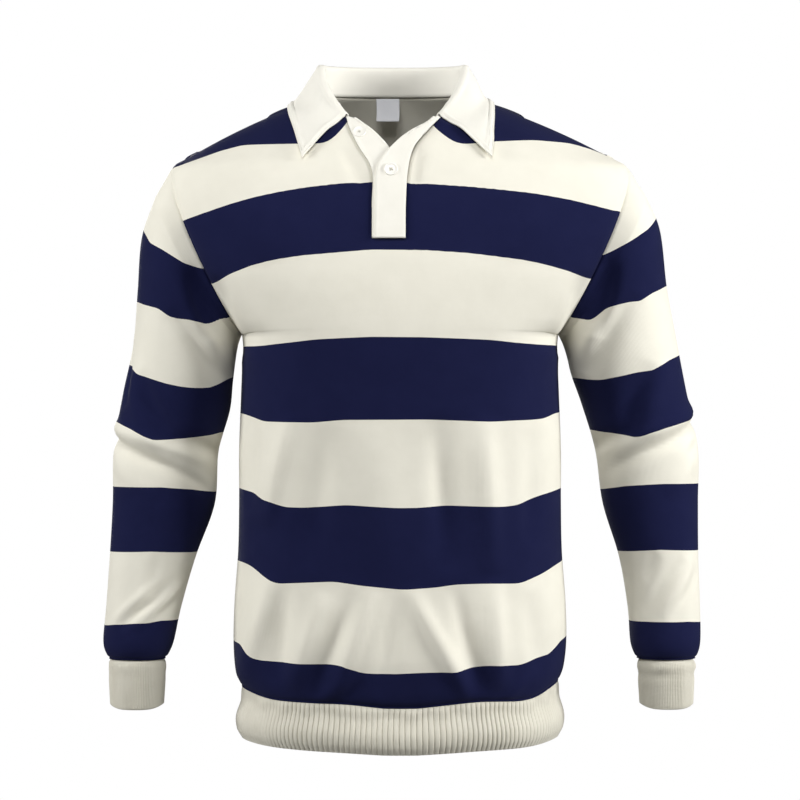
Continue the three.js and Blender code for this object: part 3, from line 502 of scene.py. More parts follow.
def cloth_wall(name, points, quads, wall, cloth=None, relief=None, fixed=None):
    """A closed wall of cloth: quads give its outer side, which the relief lifts, and every point
    is copied inwards. Fixed gives the outward direction at seam points."""
    points = np.array(points, float)
    quads = np.array(quads, int)

    def directions():
        first, second, third, fourth = points[quads].transpose(1, 0, 2)
        diagonal = np.cross(third - first, fourth - second)
        out = np.zeros_like(points)
        for corner in range(4):
            np.add.at(out, quads[:, corner], diagonal)
        out = unit(out)
        if fixed is not None:
            given = np.linalg.norm(fixed, axis=-1) > 0
            out[given] = unit(fixed[given])
        return out

    if relief is not None:
        points += directions() * relief[:, None]
    count = len(points)
    inner = points - directions() * wall
    starts = quads.reshape(-1)
    ends = np.roll(quads, -1, axis=1).reshape(-1)
    keys = starts * count + ends
    lone = ~np.isin(keys, ends * count + starts)
    rims = np.stack([ends[lone], starts[lone], starts[lone] + count, ends[lone] + count], -1)
    faces = np.concatenate([quads, quads[:, ::-1] + count, rims])
    cloth = None if cloth is None else np.tile(cloth, (2, 1))
    return solid(name, np.concatenate([points, inner]), faces, cloth)


def solid(name, points, faces, cloth=None):
    """A smooth mesh object from points in millimetres, with its cloth coordinates if it has them."""
    mesh = bpy.data.meshes.new(name)
    mesh.from_pydata((np.asarray(points) * MM).tolist(), [], [list(map(int, face)) for face in faces])
    mesh.polygons.foreach_set("use_smooth", [True] * len(mesh.polygons))
    if cloth is not None:
        held = mesh.attributes.new("cloth", "FLOAT_VECTOR", "POINT")
        held.data.foreach_set("vector", np.asarray(cloth, float).reshape(-1))
    mesh.update()
    piece = bpy.data.objects.new(name, mesh)
    bpy.context.scene.collection.objects.link(piece)
    return piece


def grid_quads(index, flip):
    quads = np.stack([index[:-1, :-1], index[1:, :-1], index[1:, 1:], index[:-1, 1:]], -1).reshape(-1, 4)
    return quads[:, ::-1] if flip else quads


def armhole_outward(side, places):
    """Outward direction round the armhole seam, shared by the body and the sleeve."""
    middle = armhole_point(side, -1, np.array(0.5)) * [1, 0, 1] + [0, TIP_Y / 2, 0]
    out = places - middle
    out[..., 0] = side * 6
    return unit(out)


def hem_outward(places):
    out = places / [ARMPIT_X**2, BODY_DEPTHS[0]["front"] ** 2, 1]
    out[..., 2] = 0
    return unit(out)


PANEL_COLUMNS = 54
HALF_WIDTH = 230
HIGH_STEP_HEIGHT = 16
LOW_STEP_HEIGHT = 26


def edge_shares():
    """Columns across half a panel, set close together beside the seam."""
    return np.concatenate([np.linspace(0, 0.972, PANEL_COLUMNS), [0.982, 0.99, 0.996, 1]])


def panel_fixed(side, face, steps, shares, grid):
    """Outward directions along the seams of half a panel; zero where the mesh decides."""
    fixed = np.zeros_like(grid)
    outer = shares >= 1
    low = steps <= ARMPIT_STEP
    fixed[0] = hem_outward(grid[0])
    if face < 0:
        fixed[(steps >= SLIT_STEP) & (steps <= NECK_STEP), 0] = (0, -1, 0)
    fixed[np.ix_(low, outer)] = (side, 0, 0)
    slope = math.atan2(NECK_POINT_Z - TIP_Z, TIP_X - NECK_HALF)
    fixed[-1] = (side * math.sin(slope), 0, math.cos(slope))
    for row in np.flatnonzero(~low):
        fixed[row, -1] = armhole_outward(side, grid[row, -1])
    return fixed


def body_panel(name, face, folds, hoops):
    """The front or the back: two halves, and on the front a strip that ends below the slit."""
    if face < 0:
        open_step = SLIT_STEP
        above_armpit = [np.linspace(ARMPIT_STEP, SLIT_STEP, 24)[1:], np.linspace(SLIT_STEP, NECK_STEP, 34)[1:]]
    else:
        open_step = BACK_NECK_STEP
        above_armpit = [np.linspace(ARMPIT_STEP, BACK_NECK_STEP, 58)[1:]]
    steps = np.concatenate([np.linspace(0, 0.12, 4), np.linspace(0.25, ARMPIT_STEP, 86), *above_armpit,
                            np.linspace(NECK_STEP, 22.7, 15)[1:], [22.85, 22.95, TOP_STEP]])
    open_row = int(np.flatnonzero(np.isclose(steps, open_step))[0])
    shares = edge_shares()
    grids = {side: panel_grid(side, face, steps, shares) for side in (-1, 1)}
    size = grids[1].shape[0] * grids[1].shape[1]
    index = {-1: np.arange(size).reshape(grids[-1].shape[:2])}
    index[1] = index[-1] + size
    points = [grids[-1].reshape(-1, 3), grids[1].reshape(-1, 3)]
    fixed = [panel_fixed(side, face, steps, shares, grids[side]).reshape(-1, 3) for side in (-1, 1)]
    off_seam = np.minimum((1 - shares[None, :]) * HALF_WIDTH, (TOP_STEP - steps[:, None]) * HIGH_STEP_HEIGHT)
    seam = [off_seam.reshape(-1)] * 2
    hem = [np.repeat(steps * LOW_STEP_HEIGHT, len(shares))] * 2
    quads = []
    if face < 0:
        strip = []
        for row in range(open_row + 1):
            a, b = grids[-1][row, 0], grids[1][row, 0]
            middle = [lerp(a, b, share) for share in (0.2, 0.4, 0.6, 0.8)]
            for place in middle:
                place[1] = body_y(face, place[0], place[2])
            strip.append(middle)
        strip = np.array(strip)
        strip_index = np.arange(strip.shape[0] * 4).reshape(-1, 4) + 2 * size
        points.append(strip.reshape(-1, 3))
        strip_fixed = np.zeros_like(strip)
        strip_fixed[0] = hem_outward(strip[0])
        fixed.append(strip_fixed.reshape(-1, 3))
        seam.append(np.full(strip_index.size, 200.0))
        hem.append(np.repeat(steps[: open_row + 1] * LOW_STEP_HEIGHT, 4))
        edges = [index[side][: open_row + 1, :1] for side in (-1, 1)]
        joined = np.concatenate([edges[0], strip_index, edges[1]], axis=1)
        quads.append(grid_quads(joined, face < 0))
    else:
        index[1][: open_row + 1, 0] = index[-1][: open_row + 1, 0]
    for side in (-1, 1):
        quads.append(grid_quads(index[side], side * face < 0))
    points, fixed, seam, hem, quads = map(np.concatenate, (points, fixed, seam, hem, quads))
    points[:, 2] += hem_shift(face, points[:, 0]) * bell(hem, 55)
    lift = fold_relief(folds, points[:, 0], points[:, 2])
    lift *= np.clip(seam / 12, 0, 1) * np.clip(hem / 8, 0, 1)
    lift -= 1.1 * bell(seam, 3.2) + 2.4 * bell(hem, 5) * np.clip(hem / 2, 0.45, 1)
    cloth = np.stack([points[:, 0], points[:, 2], hoop_count(hoops, points[:, 0], points[:, 2], HOOP_SOFTNESS)], -1)
    cloth[:, :2] *= MM
    used, renumbered = np.unique(quads, return_inverse=True)
    rows = [values[used] for values in (cloth, lift, fixed)]
    return cloth_wall(name, points[used], renumbered.reshape(-1, 4), JERSEY_WALL, *rows)


# Sleeve sections from below the armhole to the cuff seam: outer and inner edge, half the depth,
# the middle from front to back, and how far the flanks bow out
SLEEVE_SECTIONS = {
    "right": table(
        "at outer_x outer_z inner_x inner_z depth middle bow",
        (1, -272, -134, -179, -293, 60, 3, 11),
        (2, -288.5, -180, -181.5, -301, 62, 3, 5),
        (3, -294, -240, -184.5, -318, 61, 4, 0),
        (4, -298.5, -295, -187.5, -342, 59, 5, 0),
        (5, -311, -357, -191, -374, 57, 6, 0),
        (6, -321, -418, -203.5, -420, 54, 5, 0),
        (7, -321.5, -475, -207.5, -478, 50, 0, 0),
        (8, -324, -535, -228, -536, 46, -8, 0),
        (9, -327, -590, -243.5, -591, 42, -17, 0),
        (10, -329.5, -630, -251.5, -630, 39, -25, 0),
        (11, -323.5, -648.5, -259.5, -648.5, 31, -28, 0),
    ),
    "left": table(
        "at outer_x outer_z inner_x inner_z depth middle bow",
        (1, 273, -132, 179.5, -293, 60, 3, 11),
        (2, 290.5, -172, 183, -301, 62, 3, 5),
        (3, 299, -236, 187.5, -315, 61, 4, 0),
        (4, 309, -290, 192.5, -335, 59, 5, 0),
        (5, 321, -352, 204, -367, 57, 6, 0),
        (6, 334, -416, 219, -418, 54, 5, 0),
        (7, 333.5, -475, 227, -477, 50, 0, 0),
        (8, 333, -535, 244.5, -536, 46, -8, 0),
        (9, 334, -590, 253.5, -591, 42, -17, 0),
        (10, 333.5, -630, 256, -630, 39, -25, 0),
        (11, 328.5, -648, 262, -648, 31.5, -28, 0),
    ),
}
SLEEVE_ROWS = 150
SLEEVE_COLUMNS = 100
SLEEVE_RADIUS = 48
TOP_SECTION_HEIGHT = 48
LOW_SECTION_HEIGHT = 34


def sleeve(name):
    """A sleeve from the armhole seam to the cuff seam, with its folds and hoops."""
    side = -1 if name == "right" else 1
    table = SLEEVE_SECTIONS[name]
    last = table[-1]["at"]
    at = np.concatenate([[0, 0.02, 0.06, 0.12], np.linspace(0.2, last - 0.12, SLEEVE_ROWS), [last - 0.05, last]])
    angle = 2 * np.pi * np.arange(SLEEVE_COLUMNS) / SLEEVE_COLUMNS
    at, angle = np.meshgrid(at, angle, indexing="ij")
    read = {column: curve(table, "at", column)(at) for column in table[0] if column != "at"}
    outer = np.stack([read["outer_x"], read["middle"], read["outer_z"]], -1)
    inner = np.stack([read["inner_x"], read["middle"], read["inner_z"]], -1)
    middle, reach = (outer + inner) / 2, (outer - inner) / 2
    points = middle + reach * np.cos(angle)[..., None]
    points[..., 1] -= np.sin(angle) * read["depth"]
    points[..., 0] += side * read["bow"] * np.abs(np.sin(angle))
    share = (1 + np.cos(angle)) / 2
    in_front = (angle <= np.pi)[..., None]
    armhole = np.where(in_front, armhole_point(side, -1, share), armhole_point(side, 1, share))
    plane = unit(np.array([side * (TIP_Z - ARMPIT_Z), 0, -(TIP_X - ARMPIT_X)]))
    near_seam = np.maximum(0, 1 - at)[..., None]
    points = lerp(points, armhole + plane * SEAM_GAP, near_seam)
    fixed = np.zeros_like(points)
    fixed[0] = armhole_outward(side, armhole[0])
    fixed[-1] = np.stack([side * np.cos(angle[-1]), -np.sin(angle[-1]), 0 * angle[-1]], -1)
    degrees = np.degrees(angle)
    folds = fold_lengths(SLEEVE_FOLDS[name])
    lift = sum(fold_relief(folds, (degrees + turn) * DEGREE_LENGTH, points[..., 2]) for turn in (-360, 0, 360))
    top, bottom = at * TOP_SECTION_HEIGHT, (last - at) * LOW_SECTION_HEIGHT
    lift = lift * np.clip(top / 26, 0, 1) * np.clip(bottom / 14, 0, 1)
    lift = lift - 1.1 * bell(top, 3.2) - 2.2 * bell(bottom, 4.5) * np.clip(bottom / 2, 0.3, 1)
    across = (1 - np.cos(angle)) / 2
    length = np.where(angle <= np.pi, angle, 2 * np.pi - angle) * SLEEVE_RADIUS
    hoops = hoop_count(SLEEVE_HOOPS[name], across, points[..., 2], SLEEVE_HOOP_SOFTNESS)
    cloth = np.stack([length * MM, points[..., 2] * MM, hoops], -1)
    index = np.arange(at.size).reshape(at.shape)
    index = np.concatenate([index, index[:, :1]], axis=1)
    quads = grid_quads(index, side > 0)
    flat = (points.reshape(-1, 3), quads, JERSEY_WALL, cloth.reshape(-1, 3), lift.reshape(-1), fixed.reshape(-1, 3))
    return cloth_wall("jersey_sleeve_" + name, *flat)


def fold_lengths(folds):
    """Sleeve folds with their degrees turned into lengths round the sleeve."""
    return [(a * DEGREE_LENGTH, b, c * DEGREE_LENGTH, d, *rest) for a, b, c, d, *rest in folds]


# Rib-knit bands: how far each level stands out, from the seam down to the rolled edge and up inside
HEM_PROFILE = table(
    "down out",
    (0, 0.4), (0.1, -1.2), (0.28, -0.4), (0.6, 5.2), (0.84, 4.2), (1, -0.8),
)
HEM_RIBS = 184
HEM_HEIGHT = 50
HEM_SIDE_HEIGHT = 56
CUFF_RIBS = 104
CUFFS = {
    "right": dict(middle_x=-291.5, top=-649, bottom=-702, middle_y=-28, lean=-4, crimp=0.6),
    "left": dict(middle_x=295.3, top=-648.5, bottom=-701.5, middle_y=-28, lean=-4, crimp=2.2),
}
CUFF_PROFILE = table(
    "down half_x half_y",
    (0, 31.4, 30.4), (0.08, 31.0, 30.2), (0.35, 31.0, 30.4), (1, 29.4, 29),
)
RIB_PLACES = np.array([0, 0.07, 0.16, 0.32, 0.5, 0.68, 0.84, 0.93])


def rib_tube(name, level_at, ribs, height, wall, rows):
    """A rib-knit band: flat-topped ribs with fine grooves outside, a rolled edge and plain inside."""
    turn = ((np.arange(ribs)[:, None] + RIB_PLACES[None, :]) / ribs).reshape(-1)
    groove = np.minimum(RIB_PLACES, 1 - RIB_PLACES)
    crown = np.tile(1 - bell(groove, 0.11), ribs) - 0.14 * np.tile((1 - 2 * groove) ** 2, ribs)
    down = np.concatenate([[0, 0.02], np.linspace(0.06, 1, rows)])
    turn, level = np.meshgrid(turn, down, indexing="xy")
    crown = crown[None, :] + 0 * level
    point, outward, strength, scale = level_at(turn, level)
    outer = point + outward * (crown * height * strength)[..., None]
    rolls = []
    low, out = point[-1], outward[-1]
    for angle in (35, 75, 115, 150):
        turned = math.radians(angle)
        roll = low - out * (wall / 2 * (1 - math.cos(turned)))
        roll = roll + np.array([0, 0, -1]) * wall / 2 * math.sin(turned)
        rolls.append(roll + out * (crown[0] * height * strength[-1] * max(0, math.cos(turned)))[..., None])
    inside = point[::-1] - outward[::-1] * wall
    rings = np.concatenate([outer, np.array(rolls), inside])
    count = rings.shape[1]
    index = np.arange(rings.shape[0] * count).reshape(rings.shape[0], count)
    closed = np.concatenate([index, index[:, :1]], axis=1)
    closed = np.concatenate([closed, closed[:1]])
    place = np.stack([turn[0] * scale, 0 * turn[0], 0 * turn[0]], -1)
    cloth = np.repeat(place[None], rings.shape[0], axis=0)
    cloth[..., 1] = np.linspace(0, 1, rings.shape[0])[:, None] * 0.11
    return solid(name, rings.reshape(-1, 3), grid_quads(closed, False), cloth.reshape(-1, 3))


def hem_band():
    def level_at(turn, down):
        angle = 2 * np.pi * (turn + 0.0009 * np.sin(turn * 2 * np.pi * 9) * np.sin(down * 3))
        face = np.where(np.sin(angle) < 0, -1, 1)
        reach = float(side_half(HEM_SIDE_Z))
        x = reach * np.cos(angle)
        inward = np.where(face < 0, SLIT_HALF, 0)
        share = np.maximum(0, (np.abs(x) - inward) / (reach - inward))
        seam_z = lerp(HEM_CENTRE_Z, HEM_SIDE_Z, share)
        y = np.where(face < 0, body_y(-1, x, seam_z), body_y(1, x, seam_z))
        waver = np.where(face < 0, hem_shift(-1, x), hem_shift(1, x))
        tall = lerp(HEM_HEIGHT, HEM_SIDE_HEIGHT, share)
        place = np.stack([x, y, 0 * x], -1)
        outward = hem_outward(place)
        place[..., 2] = seam_z + waver * (1 - 0.75 * down) - 0.35 - tall * down
        out = curve(HEM_PROFILE, "down", "out")(down)
        pucker = 0.9 * np.sin(turn * 2 * np.pi * 23 + 2 * np.sin(turn * 40)) * bell(down - 0.16, 0.12)
        place = place + outward * (out - 2.0 * bell(down, 0.05) + pucker)[..., None]
        stretched = np.clip((np.abs(np.cos(angle)) - 0.62) / 0.3, 0, 1)
        strength = (1 - 0.8 * stretched) * np.clip(0.35 + down * 6, 0, 1)
        return place, outward, strength, 1.0

    return rib_tube("rib_hem", level_at, HEM_RIBS, 1.3, RIB_WALL, 21)


def cuff(name):
    section = CUFFS[name]

    def level_at(turn, down):
        angle = 2 * np.pi * (turn + 0.0012 * np.sin(turn * 2 * np.pi * 5) * np.sin(down * 3))
        outward = np.stack([np.cos(angle), np.sin(angle), 0 * angle], -1)
        crimp = section["crimp"] * bell(down - 0.16, 0.07) * (0.6 + 0.4 * np.sin(angle * 3 + 1))
        crimp = crimp - section["crimp"] * 0.7 * bell(down - 0.32, 0.08) * (0.6 + 0.4 * np.sin(angle * 2))
        tuck = 1.6 * bell(down, 0.035)
        x = section["middle_x"] + (curve(CUFF_PROFILE, "down", "half_x")(down) + crimp - tuck) * outward[..., 0]
        y = section["middle_y"] + section["lean"] * down
        y = y + (curve(CUFF_PROFILE, "down", "half_y")(down) + crimp - tuck) * outward[..., 1]
        z = lerp(section["top"] - 0.3, section["bottom"], down) + 4.5 * down**2 * np.cos(angle) ** 4
        strength = np.clip(0.3 + down * 8, 0, 1) * (0.75 + 0.25 * np.sin(angle * 4 + 0.7))
        return np.stack([x, y, z], -1), outward, strength, 0.35

    return rib_tube("rib_cuff_" + name, level_at, CUFF_RIBS, 0.55, RIB_WALL, 15)


# Collar, by degrees round the neck from the centre of the back: the stand and the leaf's edge
COLLAR_STATIONS = table(
    "degrees stand middle x y z",
    (0, 33, -8, 0, 84, -35),
    (35, 33, -9, 56, 72, -36),
    (65, 33, -10, 95, 39, -38),
    (90, 32, -10.5, 109, 2, -43),
    (105, 24.5, -9.5, 110.5, -20, -54),
    (120, 16, -7, 108, -42, -71),
    (131, 9, -5, 105, -57, -87),
    (140, 3.4, -3.3, 102, -70, -104.5),
)
COLLAR_STRIPS = 180
FOLD_RADIUS = 3.2
LEAF_CLEARANCE = 2.2
TOPSTITCH = 5.5
STAND_STITCH = 9
LEAF_START = 15


def surface_finder(pieces):
    """Finds the nearest outer point of the body's cloth and its outward direction."""
    places, directions = [], []
    for piece in pieces:
        mesh = piece.data
        outer = len(mesh.vertices) // 2
        for vertex in mesh.vertices[:outer]:
            places.append(vertex.co / MM)
            directions.append(vertex.normal.copy())
    tree = kdtree.KDTree(len(places))
    for number, place in enumerate(places):
        tree.insert(place, number)
    tree.balance()

    def find(place):
        near, number, _ = tree.find(Vector(place))
        return np.array(near), np.array(directions[number])

    return find


def kept_off(find, place, distance):
    for _ in range(3):
        near, outward = find(place)
        away = float(np.dot(outward, place - near))
        if away < distance:
            place = place + outward * (distance - away)
    return place


def collar(find):
    """One strip round the neck: up the stand, over the fold and down the leaf."""
    read = {column: curve(COLLAR_STATIONS, "degrees", column) for column in COLLAR_STATIONS[0]}
    leaf = np.concatenate([np.linspace(0.04, 0.8, 20), np.linspace(0.82, 0.985, 12), [0.994, 1]])
    across = np.sin(np.linspace(-1, 1, COLLAR_STRIPS + 1) * math.radians(82)) / math.sin(math.radians(82))
    sections = []
    for degrees in across * NECK_END:
        side = -1 if degrees < 0 else 1
        at = abs(degrees)
        outward = np.array([math.sin(math.radians(degrees)), math.cos(math.radians(degrees)), 0])
        seam = neck_point(np.array(degrees))
        stand = float(read["stand"](at))
        base = seam - outward * COLLAR_WALL + [0, 0, 0.5]
        radius = min(FOLD_RADIUS, stand * 0.6)
        edge = np.array([read["middle"](at) + side * read["x"](at), read["y"](at), read["z"](at)], float)
        turn = base + outward * radius
        turn[2] = seam[2] + stand - radius
        section = [base]
        for share in (0.12, 0.25, 0.4, 0.55, 0.7, 0.85, 1):
            place = lerp(base, np.array([base[0], base[1], turn[2]]), share)
            section.append(place + outward * 0.8 * math.sin(math.pi * share))
        for over in (25, 50, 75, 100, 125, 150, 172):
            angle = math.radians(over)
            section.append(turn - outward * radius * math.cos(angle) + [0, 0, radius * math.sin(angle)])
        start = turn + outward * radius
        for share in leaf:
            section.append(lerp(start, edge, share) + outward * 2.5 * math.sin(math.pi * share))
        sections.append(section)
    points = np.array(sections)
    first = LEAF_START + int(np.searchsorted(leaf, 0.25))
    for clearance, softened in ((LEAF_CLEARANCE, 16), (1.2, 8)):
        moved = np.zeros_like(points)
        for strip in range(points.shape[0]):
            for row in range(first, points.shape[1]):
                place = points[strip, row]
                moved[strip, row] = kept_off(find, place, TWILL_WALL + clearance) - place
        for _ in range(softened):
            beside = np.concatenate([moved[:1], moved, moved[-1:]])
            moved = (beside[:-2] + 2 * moved + beside[2:]) / 4
            above = np.concatenate([moved[:, :1], moved, moved[:, -1:]], axis=1)
            moved = (above[:, :-2] + 2 * moved + above[:, 2:]) / 4
        points = points + moved
    lengths = np.cumsum(np.linalg.norm(np.diff(points, axis=1), axis=-1), axis=1)
    lengths = np.concatenate([np.zeros((len(points), 1)), lengths], axis=1)
    to_edge = lengths[:, -1:] - lengths
    front_steps = np.linalg.norm(np.diff(points, axis=0), axis=-1)
    from_start = np.concatenate([np.zeros((1, points.shape[1])), np.cumsum(front_steps, axis=0)])
    to_front = np.minimum(from_start, from_start[-1:] - from_start)
    on_leaf = np.arange(points.shape[1])[None, :] >= LEAF_START
    to_rim = np.where(on_leaf, np.minimum(to_edge, to_front), 60)
    lift = -0.8 * bell(to_rim - TOPSTITCH, 1.0) + 0.4 * bell(to_rim - 2.6, 1.8)
    soft = 0.7 * np.sin(from_start / 17) * np.sin(lengths / 11) + 0.5 * np.sin(from_start / 29 + 1)
    lift = lift + np.where(on_leaf, soft, 0) * np.clip(to_rim / 20, 0, 1)
    lift = lift - np.where(~on_leaf, 0.45 * bell(lengths - STAND_STITCH, 1.0), 0)
    index = np.arange(points.shape[0] * points.shape[1]).reshape(points.shape[:2])
    cloth = np.stack([from_start * MM, lengths * MM, 0 * lengths], -1).reshape(-1, 3)
    quads = grid_quads(index, True)
    piece = cloth_wall("twill_collar", points.reshape(-1, 3), quads, TWILL_WALL, cloth, lift.reshape(-1))
    return piece, from_start, lengths


def topstitch_path(from_start, lengths):
    """Grid places of the collar's topstitch: down one front, along the edge and up the other."""
    to_edge = lengths[:, -1:] - lengths
    strips, rows = np.arange(lengths.shape[0]), np.arange(lengths.shape[1])
    fronts = []
    for distance in (from_start, from_start[-1:] - from_start):
        path = []
        for row in rows[LEAF_START + 1:]:
            order = np.argsort(distance[:, row])
            strip = np.interp(TOPSTITCH, distance[order, row], strips[order].astype(float))
            if to_edge[int(round(strip)), row] > TOPSTITCH:
                path.append((strip, float(row)))
        fronts.append(path)
    edge = []
    for strip in strips:
        row = np.interp(TOPSTITCH, to_edge[strip, ::-1], rows[::-1].astype(float))
        near = min(from_start[strip, int(row)], from_start[-1, int(row)] - from_start[strip, int(row)])
        if near > TOPSTITCH:
            edge.append((float(strip), row))
    return np.array(fronts[0] + edge + fronts[1][::-1])


# Plackets: the free edge of each, level with the steps of the slit
OVER_EDGE = table(
    "step x z",
    (14, -28, -187.5), (15, -27.2, -150), (16, -25.8, -113), (17, -16.5, -94), (17.6, -3, -79),
    (18.2, 12, -67.5), (18.6, 23, -61.5), (18.8, 30, -57.5), (19, 35.5, -51.5),
)
UNDER_EDGE = table(
    "step x z",
    (14, 4.4, -187.5), (15, 4.4, -150), (16, 5, -114), (17, -11.5, -86.5), (18, -27.5, -68.5),
    (19, -48, -52.5),
)
OVER_PROUD = 1.8
UNDER_PROUD = -1.2
BOX_STITCH = 11.5
EDGE_STITCH = 2.4
FREE_STITCH = 2.6
LOW_BUTTON = (-9.8, -112.5)
TOP_BUTTON = (-44.4, -68)
BUTTON_RADIUS = 7.5
BUTTON_THICK = 2.6
HOLE_RING = 1.9
HOLE_RADIUS = 0.95
SEWING_THREAD_RADIUS = 0.2


def placket(name, free, seam_edge, proud):
    """A stitched band from the slit's edge to its free edge."""
    steps = np.linspace(SLIT_STEP, NECK_STEP, 76)
    shares = np.concatenate([[0.01, 0.025, 0.05], np.linspace(0.09, 0.9, 16), [0.93, 0.955, 0.975, 0.99, 1]])
    step, share = np.meshgrid(steps, shares, indexing="ij")
    seam = np.stack([seam_edge(step), slit_z(step)], -1)
    edge = np.stack([curve(free, "step", "x")(step), curve(free, "step", "z")(step)], -1)
    place = lerp(seam, edge, share[..., None])
    y = body_y(-1, place[..., 0], place[..., 1]) - proud * np.clip(0.45 + share * 4, 0, 1)
    points = np.stack([place[..., 0], y, place[..., 1]], -1)
    wide = np.linalg.norm(seam - edge, axis=-1)
    off_free = (1 - share) * wide
    off_seam = share * wide
    up = points[..., 2] - SLIT_EDGES[0]["z"]
    lift = -0.6 * sum(bell(off, 0.8) for off in (off_free - EDGE_STITCH, off_seam - EDGE_STITCH, up - BOX_STITCH))
    lift = lift + 0.25 * bell(off_free, 1.5) + 0.35 * np.sin(points[..., 2] / 9) * bell(off_free - 14, 9)
    lift = lift - 0.5 * bell(up, 1.2)
    index = np.arange(step.size).reshape(step.shape)
    cloth = np.stack([off_seam * MM, up * MM, 0 * up], -1).reshape(-1, 3)
    flip = seam_edge is slit_left
    quads = grid_quads(index, flip)
    piece = cloth_wall(name, points.reshape(-1, 3), quads, TWILL_WALL, cloth, lift.reshape(-1))
    return piece, off_seam, off_free, up


def band_path(off_seam, off_free, up, inside, low, high):
    """Grid places of a placket's stitching: up the seam side or the free side, between two heights."""
    distance = off_seam if inside > 0 else off_free
    path = []
    for row in range(distance.shape[0]):
        order = np.argsort(distance[row])
        column = np.interp(abs(inside), distance[row][order], order.astype(float))
        if low <= up[row, int(column)] <= high:
            path.append((float(row), column))
    return np.array(path)


def stitches(name, path, outward, pitch=2.6, long=1.9, thick=0.3):
    """A row of short thread stitches laid along a path on the cloth."""
    path = np.asarray(path, float)
    steps = np.linalg.norm(np.diff(path, axis=0), axis=-1)
    length = np.concatenate([[0], np.cumsum(steps)])
    points, faces = [], []
    ring = 5
    for start in np.arange(0.5, length[-1] - long, pitch):
        ends = [np.array([np.interp(place, length, path[:, axis]) for axis in range(3)])
                for place in (start, start + long)]
        out = np.array([np.interp(start + long / 2, length, outward[:, axis]) for axis in range(3)])
        out = out / np.linalg.norm(out)
        ahead = (ends[1] - ends[0]) / max(np.linalg.norm(ends[1] - ends[0]), 1e-6)
        beside = np.cross(ahead, out)
        first = len(points)
        for share, width, rise in ((0, 0.3, -0.12), (0.25, 1, 0.14), (0.75, 1, 0.14), (1, 0.3, -0.12)):
            middle = lerp(ends[0], ends[1], share) + out * rise
            for turn in range(ring):
                angle = 2 * math.pi * turn / ring
                around = beside * math.cos(angle) + out * math.sin(angle) * 0.8
                points.append(middle + around * thick * width)
        for band in range(3):
            for turn in range(ring):
                after = (turn + 1) % ring
                low, high = first + band * ring, first + (band + 1) * ring
                faces.append((low + turn, high + turn, high + after, low + after))
        faces.append(tuple(first + turn for turn in range(ring)))
        faces.append(tuple(first + 3 * ring + turn for turn in reversed(range(ring))))
    return solid(name, np.array(points), faces)


def stitched(name, piece, shape, path):
    """Stitches on the outer side of a piece made from a grid, along a path of grid places."""
    count = shape[0] * shape[1]
    vertices = list(piece.data.vertices)[:count]
    places = np.array([vertex.co for vertex in vertices]).reshape(*shape, 3) / MM
    directions = np.array([vertex.normal for vertex in vertices]).reshape(*shape, 3)
    low = np.clip(np.floor(path).astype(int), 0, np.array(shape) - 2)
    row_share, column_share = (path - low)[:, :1], (path - low)[:, 1:]

    def read(grid):
        near = lerp(grid[low[:, 0], low[:, 1]], grid[low[:, 0] + 1, low[:, 1]], row_share)
        far = lerp(grid[low[:, 0], low[:, 1] + 1], grid[low[:, 0] + 1, low[:, 1] + 1], row_share)
        return lerp(near, far, column_share)

    return stitches(name, read(places), unit(read(directions)))


def outward_at(place):
    step = 4
    x, z = place
    slope_x = (body_y(-1, x + step, z) - body_y(-1, x - step, z)) / (2 * step)
    slope_z = (body_y(-1, x, z + step) - body_y(-1, x, z - step)) / (2 * step)
    return Vector((float(slope_x), -1, float(slope_z))).normalized()


def hole_place(degrees):
    return HOLE_RING * math.cos(math.radians(degrees)), HOLE_RING * math.sin(math.radians(degrees)), 0


